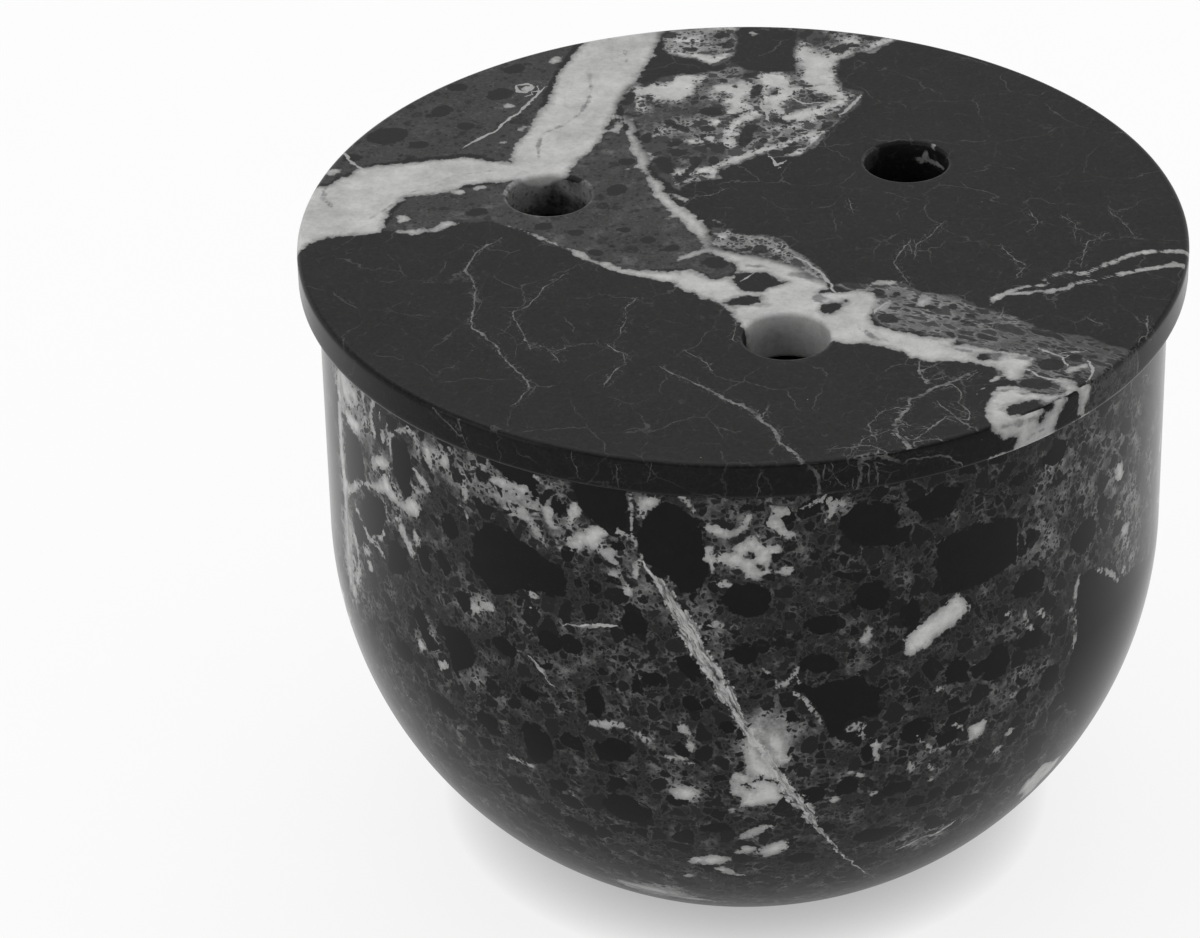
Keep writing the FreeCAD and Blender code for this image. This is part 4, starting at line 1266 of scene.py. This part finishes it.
def white_dots(place, size, radius, share):
    """1 on tiny round dots of that radius in mm, one in some of the cells about `size` mm apart."""
    away, presence, _ = seeds(place, size)
    near = turning(radius - away, 0.0, radius * 0.6)
    return near * turning(share - presence, 0.0, 0.01)


def spots(place, size, share, softness):
    """Soft spots of several radii, one in some of the cells about `size` mm apart."""
    away, presence, own_width = seeds(moved(place, size * 0.8, size * 0.25), size)
    radius = size * (0.12 + 0.30 * own_width)
    return turning(radius - away, -softness, softness) * turning(share - presence, 0.0, 0.02)


def bulges(place, size):
    """Rounded swellings about that size in mm: 0.5 in the middle of each, below 0 between them."""
    return 0.5 - voronoi(moved(place, size, size * 0.3), size)


def hairlines(place, size, width, low, high):
    """A web of broken hairlines: the borders of warped cells, which show only where a noise is high."""
    around = moved(place, size * 0.8, size * 0.32, 5.0)
    depth = voronoi(around, size, feature="DISTANCE_TO_EDGE") * size
    return turning(width - depth, 0.0, width) * turning(noise(around, size * 0.5, 3.0, 0.6), low, high)


# %% [markdown]
# ## What brecciated marble is made of
# Fragments of several sizes lie in a cement that is grey in some places and smoky white in others.
# Each size is a layer of cells; a cell is a fragment only if its own number says so, and elsewhere
# the smaller layers show. The whiter the cement, the more of it there is between the fragments.
# An image wrapped round it would stretch and repeat, while cells and noise in the stone's own place
# run on through it. Sizes and distances are in mm. A tone is the share of light that is given back.

# %% Fragments, cement, calcite and threads
def fragments_in(place, under, layers, amount, tones, outline=0.0, whole=0.0):
    """Tone of breccia. Each layer is (size in mm, share of its cells that are fragments, strength);
    from the smallest up, a fragment hides what lies under it, has a tone between the darkest and the
    lightest, and a thin pale outline. Where `whole` is 1 the stone under it isn't broken, and large
    fragments keep further away from there than small ones."""
    tone = under
    darkest, lightest = tones
    for number, (size, share, strength) in enumerate(layers):
        around = shifted(moved(place, size * 0.7, size * 0.3, 5.0), 31.0 * number, 17.0 * number, 5.0)
        depth, presence, own_tone = cells(around, size)
        # Every fragment has a thin gap round it, some a wider one, and rich cement widens them all.
        gap = size * 0.03 + (size * 0.16) * own_tone * own_tone + (size * 0.10) * amount
        inside = depth + noise(around, size * 0.35, 3.0, 0.65) * (size * 0.05) - gap
        left_over = 1.0 - whole * (1.0 + 0.6 * number)
        there = turning(share * left_over - presence, 0.0, 0.02)
        rim = turning(0.10 - calculated("ABSOLUTE", inside + 0.05), 0.0, 0.09) * there
        tone = tone + rim * outline
        shows = turning(inside, -0.03, 0.06 + size * 0.02) * there * strength
        tone = blended(shows, tone, darkest + (lightest - darkest) * own_tone)
    return tone


def cement_of(place, amount, grey, pale):
    """Cement from grey to pale, as the drawn amount and a cloud add up, with a fine grain."""
    cloud = noise(place, 3.2, 7.0, 0.68)
    whiteness = turning(amount + cloud * 0.34, 0.15, 1.0)
    grain = noise(place, 0.5, 3.0, 0.7)
    return blended(whiteness, grey, pale) * (1.0 + grain * 0.26)


def white_calcite(place, depth, brightest, stain=0.0):
    """Milky white: greyer towards its edge, with clouds, fine mottling, flecks and stains."""
    clouds = noise(place, 4.5, 6.0, 0.62)
    mottle = noise(place, 0.8, 4.0, 0.72)
    core = turning(depth, -0.1, 1.3)
    tone = brightest * (0.52 + 0.48 * core) * (1.0 + clouds * 0.26 + mottle * 0.16)
    flecks = turning(mottle, 0.3, 1.0)
    tone = blended(flecks * 0.5, tone, brightest * 0.26)
    return blended(stain, tone, brightest * 0.32)


def line_of(place, name, jitter, size=2.2):
    """1 on a drawn thread: its half width is more than the shaken distance across, and the plain
    distance says that it is really near. The width comes and goes along the thread."""
    shaken = reading(name) + noise(place, size, 4.0, 0.55) * jitter
    across = calculated("ABSOLUTE", shaken)
    drawn_width = reading(name + "_width")
    width = drawn_width * (0.9 + noise(place, 1.3, 5.0, 0.7) * 0.85)
    near = turning(drawn_width + 0.9 - reading(name + "_near"), 0.0, 0.25)
    return turning(width - across, -0.05, 0.08) * near


# %% Open a material and finish it
def new_material(name):
    """An empty material whose board is open for drawing."""
    global board
    material = bpy.data.materials.new(name)
    material.use_nodes = True
    board = material.node_tree
    board.nodes.clear()
    return material


def finished(tone, roughness, bump_height, specular_level):
    """The stone's shader: a slightly warm grey of that tone, a roughness, and a little relief. The
    specular level is the same all over, so it is set on the shader's own socket."""
    warmth = {"Red": 1.0, "Green": 0.995, "Blue": 0.985}
    colour = new_node("CombineColor", {channel: tone * share for channel, share in warmth.items()})
    relief = new_node("Bump", {"Strength": 1.0, "Distance": MM, "Height": bump_height})
    shader = new_node("BsdfPrincipled", {"Base Color": colour, "Roughness": roughness,
                                         "Specular IOR Level": specular_level, "Normal": relief})
    new_node("OutputMaterial", {"Surface": shader})


# %% [markdown]
# ## The lid's marble
# The lid is honed, a soft satin. Its host stone is a plain charcoal with faint clouds and hairlines.
# Everything else is drawn: zones of breccia, then white calcite over them, then threads and cracks.
# It could be one long recipe, but each stone is easier to judge alone, so each has its function.

# %% The stones of the lid
charcoal = 0.0130                   # the host stone's tone
lid_calcite = 0.46
crushed_layers = ((0.7, 0.6, 0.95), (1.4, 0.5, 0.95), (2.8, 0.35, 0.95))
platy_layers = ((0.7, 0.6, 0.9), (1.3, 0.5, 0.9), (2.4, 0.3, 0.9))
platy_lie = -27.0                   # degrees from X: the way that the flat fragments lie
platy_stretch = 2.2                 # their length over their width


def lid_host(place, clouds, grain):
    """Charcoal times faint clouds and a fine grain, and over it three webs of hairlines."""
    web = greater(hairlines(place, 11.0, 0.16, -0.4, 0.5) * 0.048,
                  hairlines(place, 4.2, 0.12, -0.1, 0.8) * 0.028)
    web = greater(web, hairlines(place, 1.9, 0.08, -0.4, 0.8) * 0.014)
    return charcoal * (1.0 + clouds * 0.16 + grain * 0.5) + web


def soft_breccia(place, amount, clouds):
    """Smoky cement times soft dark spots of three sizes, and over it a faint pale web."""
    tone = cement_of(place, amount, 0.042, 0.26)
    for size, share, softness, strength in (
            (1.2, 0.65, 0.12, 0.5), (2.7, 0.5, 0.18, 0.5), (0.75, 0.6, 0.10, 0.45)):
        tone = tone * (1.0 - strength * spots(place, size, share, softness))
    web = greater(hairlines(place, 2.6, 0.14, 0.0, 0.9), hairlines(place, 1.1, 0.10, -0.1, 0.9))
    return tone * (1.0 + clouds * 0.2) + web * 0.05


def rough_breccia(place, amount, white, calcite):
    """Torn calcite full of crushed fragments. Deep inside the white there are none."""
    torn = blended(turning(white, -0.5, 0.2), cement_of(place, amount, 0.050, 0.34), calcite)
    whole = turning(white, -0.1, 1.5)
    return fragments_in(place, torn, crushed_layers, amount, (0.014, 0.060), whole=whole)


def platy_breccia(place, amount):
    """Flat fragments that all lie one way, because the place is turned and squeezed along it."""
    cement = cement_of(place, amount, 0.062, 0.26)
    lying = laid_over(place, platy_lie, platy_stretch)
    return fragments_in(lying, cement, platy_layers, amount, (0.014, 0.046), outline=0.03)


def lid_white(place, rough):
    """The drawn distance into the white, with ragged edges, and the calcite's tone there."""
    ragged = bulges(place, 1.3) * 0.6 + noise(place, 2.2, 8.0, 0.78) * 0.62
    ragged = ragged + noise(shifted(place, 3.0, 60.0, 8.0), 6.0, 3.0, 0.5) * 0.4
    white = reading("white") + ragged * (1.0 + rough * 0.5)
    stain = turning(reading("stain") + noise(place, 1.4, 5.0, 0.65) * 0.4, -0.15, 0.4)
    stain = stain * turning(noise(place, 3.0), -0.9, 0.3) * 0.85
    return white, white_calcite(place, white, lid_calcite, stain)


def lid_fissures(place):
    """The drawn cracks, which come and go, and a fine web of hairs close beside them."""
    strength = turning(noise(place, 1.6, 5.0, 0.7), -0.9, 0.7)
    beside = turning(1.6 - reading("crack_near"), 0.0, 1.4)
    hairs = hairlines(place, 1.5, 0.07, -0.4, 0.6) * beside
    return greater(line_of(place, "crack", 0.34, 1.6) * strength, hairs * 0.5)


# %% Mix the lid's marble
def lid_marble():
    """From the bottom up: host stone, breccia, calcite, veins, cracks, white dots, then painted shade.
    """
    material = new_material("lid_marble")
    place = place_in_mm()
    amount = reading("cement")
    rough = reading("rough")
    side = reading("side")
    clouds = noise(place, 8.0, 5.0, 0.6)
    grain = noise(place, 0.7, 5.0, 0.75)
    white, calcite = lid_white(place, rough)

    breccia = blended(rough, soft_breccia(place, amount, clouds),
                      rough_breccia(place, amount, white, calcite))
    breccia = blended(reading("platy"), breccia, platy_breccia(place, amount))
    fragment = turning(reading("clast") + noise(place, 1.5, 6.0, 0.68) * 0.36, -0.04, 0.16)
    breccia = blended(fragment * 0.92, breccia, charcoal * (1.05 + grain * 0.2))
    in_zone = turning(reading("zone") + noise(place, 3.0, 7.0, 0.7) * 0.7, -0.2, 0.35)
    tone = blended(in_zone, lid_host(place, clouds, grain), breccia)

    tone = blended(turning(white, -0.16, 0.18) * (1.0 - rough), tone, calcite)
    tone = blended(line_of(place, "vein", 0.36) * 0.92, tone, lid_calcite * (0.8 + clouds * 0.1))
    is_dark = 1.0 - turning(white, -0.4, 0.1)
    tone = blended(lid_fissures(place) * is_dark, tone, 0.20)
    tone = tone + white_dots(place, 3.0, 0.13, 0.10) * is_dark * 0.22

    # Painted shade: the dark stone on the front half of the side is darkened, as it lies in less light
    # than the top.
    # The side is also smoother than the honed top.
    tone = tone * (1.0 - 0.42 * side * is_dark)
    roughness = 0.34 + grain * 0.05 - side * 0.16
    relief = noise(place, 0.35, 3.0, 0.6) * 0.0012
    finished(tone, roughness, relief, specular_level=0.10)
    return material


lid_stone.data.materials.append(lid_marble())
print("lid_marble", len(board.nodes), "nodes")

# %% [markdown]
# ## The bowl's marble
# The bowl is polished to a gloss, so its edges mirror the pale room. It is breccia all over: big
# fragments are drawn at the front and grown by the material elsewhere, where `wild` is 1. To draw
# them all round would take long, and to grow them all would lose the ones that set this bowl apart.

# %% The stones of the bowl
bowl_calcite = 0.58
black_stone = 0.0050                # the tone of the big dark fragments
bowl_layers = ((0.7, 0.55, 0.9), (1.5, 0.5, 0.95), (3.1, 0.45, 1.0))


def bowl_white(place, wild, steps):
    """The drawn distance into the white, or into a few grown chips, with ragged, stepped edges."""
    depth, presence, _ = cells(moved(shifted(place, 50.0, 3.0, 9.0), 2.0, 1.2), 5.0)
    no_chip = turning(presence - 0.1 * wild, -0.01, 0.0)
    chips = depth - 0.9 - FAR * no_chip
    return greater(reading("white"), chips) + noise(place, 1.5, 8.0, 0.72) * 0.42 + steps * 0.5


def bowl_breccia(place, amount, white):
    """Fragments in grey cement with a pale web. The white and the richest cement stay whole."""
    cement = cement_of(place, amount, 0.021, 0.48)
    under = blended(turning(white, -0.30, 0.10), cement, white_calcite(place, white, bowl_calcite))
    whole = greater(turning(white, -0.15, 0.40), turning(amount, 0.50, 0.62))
    breccia = fragments_in(place, under, bowl_layers, amount, (0.0048, 0.018), 0.013, whole)
    web = hairlines(place, 2.2, 0.10, -0.1, 0.9) * turning(amount, 0.0, 0.5)
    return breccia + web * 0.05


def big_fragments(place, wild, steps):
    """1 on the drawn dark fragments, and on grown ones in the wild part; edges in small steps."""
    depth, presence, own_inset = cells(moved(place, 5.0, 2.0), 8.5)
    absent = turning(presence - 0.42 * wild, -0.01, 0.0)
    grown = depth - 0.8 - own_inset - FAR * absent
    broken = steps * 0.9 + noise(place, 1.2, 6.0, 0.68) * 0.22
    return turning(greater(reading("clast"), grown) + broken, -0.02, 0.12)


def fibrous_strands(place):
    """Long fibres for the crack: noise that is fine across it and drawn out down the side."""
    across = (reading("vein") + noise(place, 3.0, 4.0, 0.6) * 0.5) * 2.2
    down = new_node("SeparateXYZ", {0: place}, 2) * 0.30
    fibres = noise(new_node("CombineXYZ", {0: across, 1: down}), 1.0, 7.0, 0.75)
    milky = turning(noise(place, 2.6, 4.0, 0.6), 0.1, 0.7) * 0.6
    return greater(turning(fibres, -0.55, 0.45) * 0.95, milky)


# %% Mix the bowl's marble
def bowl_marble():
    """From the bottom up: breccia with its white, big dark fragments, the crack and white dots."""
    material = new_material("bowl_marble")
    place = place_in_mm()
    wild = reading("wild")
    grain = noise(place, 0.55, 5.0, 0.74)
    patchy = noise(shifted(place, 7.0, 90.0, 40.0), 16.0, 3.0, 0.5)
    amount = reading("cement") + wild * patchy * 0.26
    steps = seeds(moved(place, 1.6, 0.7, 4.0), 1.9)[2] - 0.5
    white = bowl_white(place, wild, steps)
    breccia = bowl_breccia(place, amount, white)

    clouds = noise(place, 3.0, 4.0, 0.6)
    dark = black_stone * (1.0 + clouds * 0.25 + grain * 0.3)
    dark = dark + hairlines(place, 5.0, 0.06, 0.4, 1.0) * 0.012
    fragment = big_fragments(place, wild, steps) * (1.0 - turning(white, -0.10, 0.18))
    tone = blended(fragment, breccia, dark)
    tone = blended(line_of(place, "vein", 0.5) * fibrous_strands(place), tone, bowl_calcite)
    tone = tone + white_dots(place, 4.0, 0.08, 0.10) * 0.12

    roughness = 0.14 + grain * 0.02
    relief = noise(place, 0.5, 3.0, 0.6) * 0.0004
    finished(tone, roughness, relief, specular_level=0.12)
    return material


bowl_stone.data.materials.append(bowl_marble())
print("bowl_marble", len(board.nodes), "nodes")

# %% [markdown]
# ## Onto the frame
# Each stone stands for its own CAD node, which stays for collision, and rides on that node's body,
# so the lid lifts off with its marble.

# %% Ride and replace
for piece, node in ((bowl_stone, "bowl"), (lid_stone, "lid")):
    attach(piece, node)
    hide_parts(node)

# %% [markdown]
# ## Studio
# A pale floor, two soft lamps and a room of light all round, bright low down and greyer above, as
# for a catalogue picture. Lamps alone would leave the polish black, because a polished stone shows
# the room that it mirrors. A floor that only glowed would lose its shadow, so the glow fades where
# stone is close above it.

# %% The room
horizon, overhead = 0.12, 0.45      # heights of the way that a ray goes, as the sine of its angle
wall_glow, ceiling_glow = 1.0, 0.42


def white_room():
    """The world's strength: walls up to the horizon, ceiling from overhead on, a turn between."""
    global board
    world = bpy.data.worlds.new("studio")
    bpy.context.scene.world = world
    world.use_nodes = True
    board = world.node_tree
    board.nodes.clear()
    way = new_node("TexCoord", {}, "Generated")
    height = turning(new_node("SeparateXYZ", {0: way}, 2), horizon, overhead)
    strength = blended(height, wall_glow, ceiling_glow)
    background = new_node("Background", {"Color": (1, 1, 1, 1), "Strength": strength})
    new_node("OutputWorld", {"Surface": background})
    print("room with", len(board.nodes), "nodes")


white_room()

# %% The floor
floor_half = 6000.0                 # mm from the middle to the border
floor_drop = 0.02                   # mm below the foot
paper_lit, paper_seen = 0.80, 0.15  # its colour for light that bounces, and where it is looked at
# For the camera, and then for rays that a polish mirrors:
glow_strength = (0.836, 0.68)
shade_reach = (9.0 * MM, 34.0 * MM)
shade_depth = (0.55, 0.78)


def pale_floor():
    """A wide flat sheet. Where it is looked at, it is mostly its own glow: strength * (1 - depth *
    how much of the sky within the reach is hidden)."""
    line = np.linspace(-floor_half, floor_half, 3)
    x, y = np.meshgrid(line, line)
    grid = np.stack([x, y, np.full(x.shape, -floor_drop)], axis=-1)
    mesh = bpy.data.meshes.new("floor")
    mesh.from_pydata(grid.reshape(-1, 3) * MM, [], grid_quads(3, 3))
    floor = bpy.data.objects.new("floor", mesh)
    bpy.context.scene.collection.objects.link(floor)
    mesh.materials.append(new_material("pale_paper"))
    camera_ray = new_node("LightPath", {}, "Is Camera Ray")
    mirrored = greater(camera_ray.beside("Is Glossy Ray"), camera_ray.beside("Is Transmission Ray"))
    seen = greater(camera_ray, mirrored)
    paper = blended(seen, paper_lit, paper_seen) + noise(place_in_mm(), 40.0, 2.0) * 0.002
    colour = new_node("CombineColor", {channel: paper for channel in ("Red", "Green", "Blue")})
    reach = blended(mirrored, *shade_reach)
    open_sky = new_node("AmbientOcclusion", {"Distance": reach}, "AO", samples=8)
    in_the_open = 1.0 - blended(mirrored, *shade_depth) * (1.0 - open_sky)
    strength = seen * in_the_open * blended(mirrored, *glow_strength)
    surface = new_node("AddShader", {0: new_node("BsdfDiffuse", {"Color": colour}),
                                     1: new_node("Emission", {"Strength": strength})})
    new_node("OutputMaterial", {"Surface": surface})
    print("floor", 2 * floor_half * MM, "m wide, with", len(board.nodes), "nodes")


pale_floor()

# %% Two soft lamps
lamp_target = Vector((0, 0, 0.06))  # the middle of the keeper


def soft_light(name, place, size, power):
    """A square lamp that looks at the keeper."""
    lamp = bpy.data.lights.new(name, "AREA")
    lamp.size = size
    lamp.energy = power
    holder = bpy.data.objects.new(name, lamp)
    bpy.context.scene.collection.objects.link(holder)
    holder.location = place
    holder.rotation_euler = (lamp_target - Vector(place)).to_track_quat("-Z", "Y").to_euler()
    print(name, size, "m wide,", power, "W")


soft_light("overhead", (0.0, 0.6, 1.7), 2.0, 20.0)
soft_light("left_window", (-1.5, -0.7, 0.9), 1.0, 4.0)

# %% [markdown]
# ## Camera
# A long lens from above the front, as for a catalogue. Three turns typed into the camera would place
# it too, but say nothing about the keeper. So it stands on a circle round the middle of the lid's
# top, looks at that middle, and is then panned, tilted and rolled by a few degrees.

# %% Set the camera
camera_distance = 707.6             # mm from the middle of the lid's top
camera_elevation = 29.466           # degrees
camera_pan = 1.745
camera_tilt = -2.915
camera_roll = 0.469
focal_length = 141.35               # for a sensor 36 mm wide


def spun(vector, axis, degrees):
    """The vector turned about a unit axis: Rodrigues' formula."""
    cosine, sine = math.cos(math.radians(degrees)), math.sin(math.radians(degrees))
    return vector * cosine + np.cross(axis, vector) * sine + axis * (axis @ vector) * (1 - cosine)


def set_camera():
    elevation = math.radians(camera_elevation)
    forward = np.array([0, math.cos(elevation), -math.sin(elevation)])
    right = np.array([1.0, 0, 0])
    up = np.cross(right, forward)
    forward, right = spun(forward, up, camera_pan), spun(right, up, camera_pan)
    forward, up = spun(forward, right, camera_tilt), spun(up, right, camera_tilt)
    right, up = spun(right, forward, camera_roll), spun(up, forward, camera_roll)
    start = np.array([0, -camera_distance * math.cos(elevation),
                      lid_top + camera_distance * math.sin(elevation)])
    lens = bpy.data.cameras.new("camera")
    lens.lens = focal_length
    lens.sensor_width = 36
    lens.clip_start, lens.clip_end = 0.05, 30
    camera = bpy.data.objects.new("camera", lens)
    bpy.context.scene.collection.objects.link(camera)
    placed = np.eye(4)
    placed[:3, 0], placed[:3, 1], placed[:3, 2], placed[:3, 3] = right, up, -forward, start * MM
    camera.matrix_world = Matrix(placed.tolist())
    bpy.context.scene.camera = camera


set_camera()
bpy.context.scene.view_settings.view_transform = "Standard"
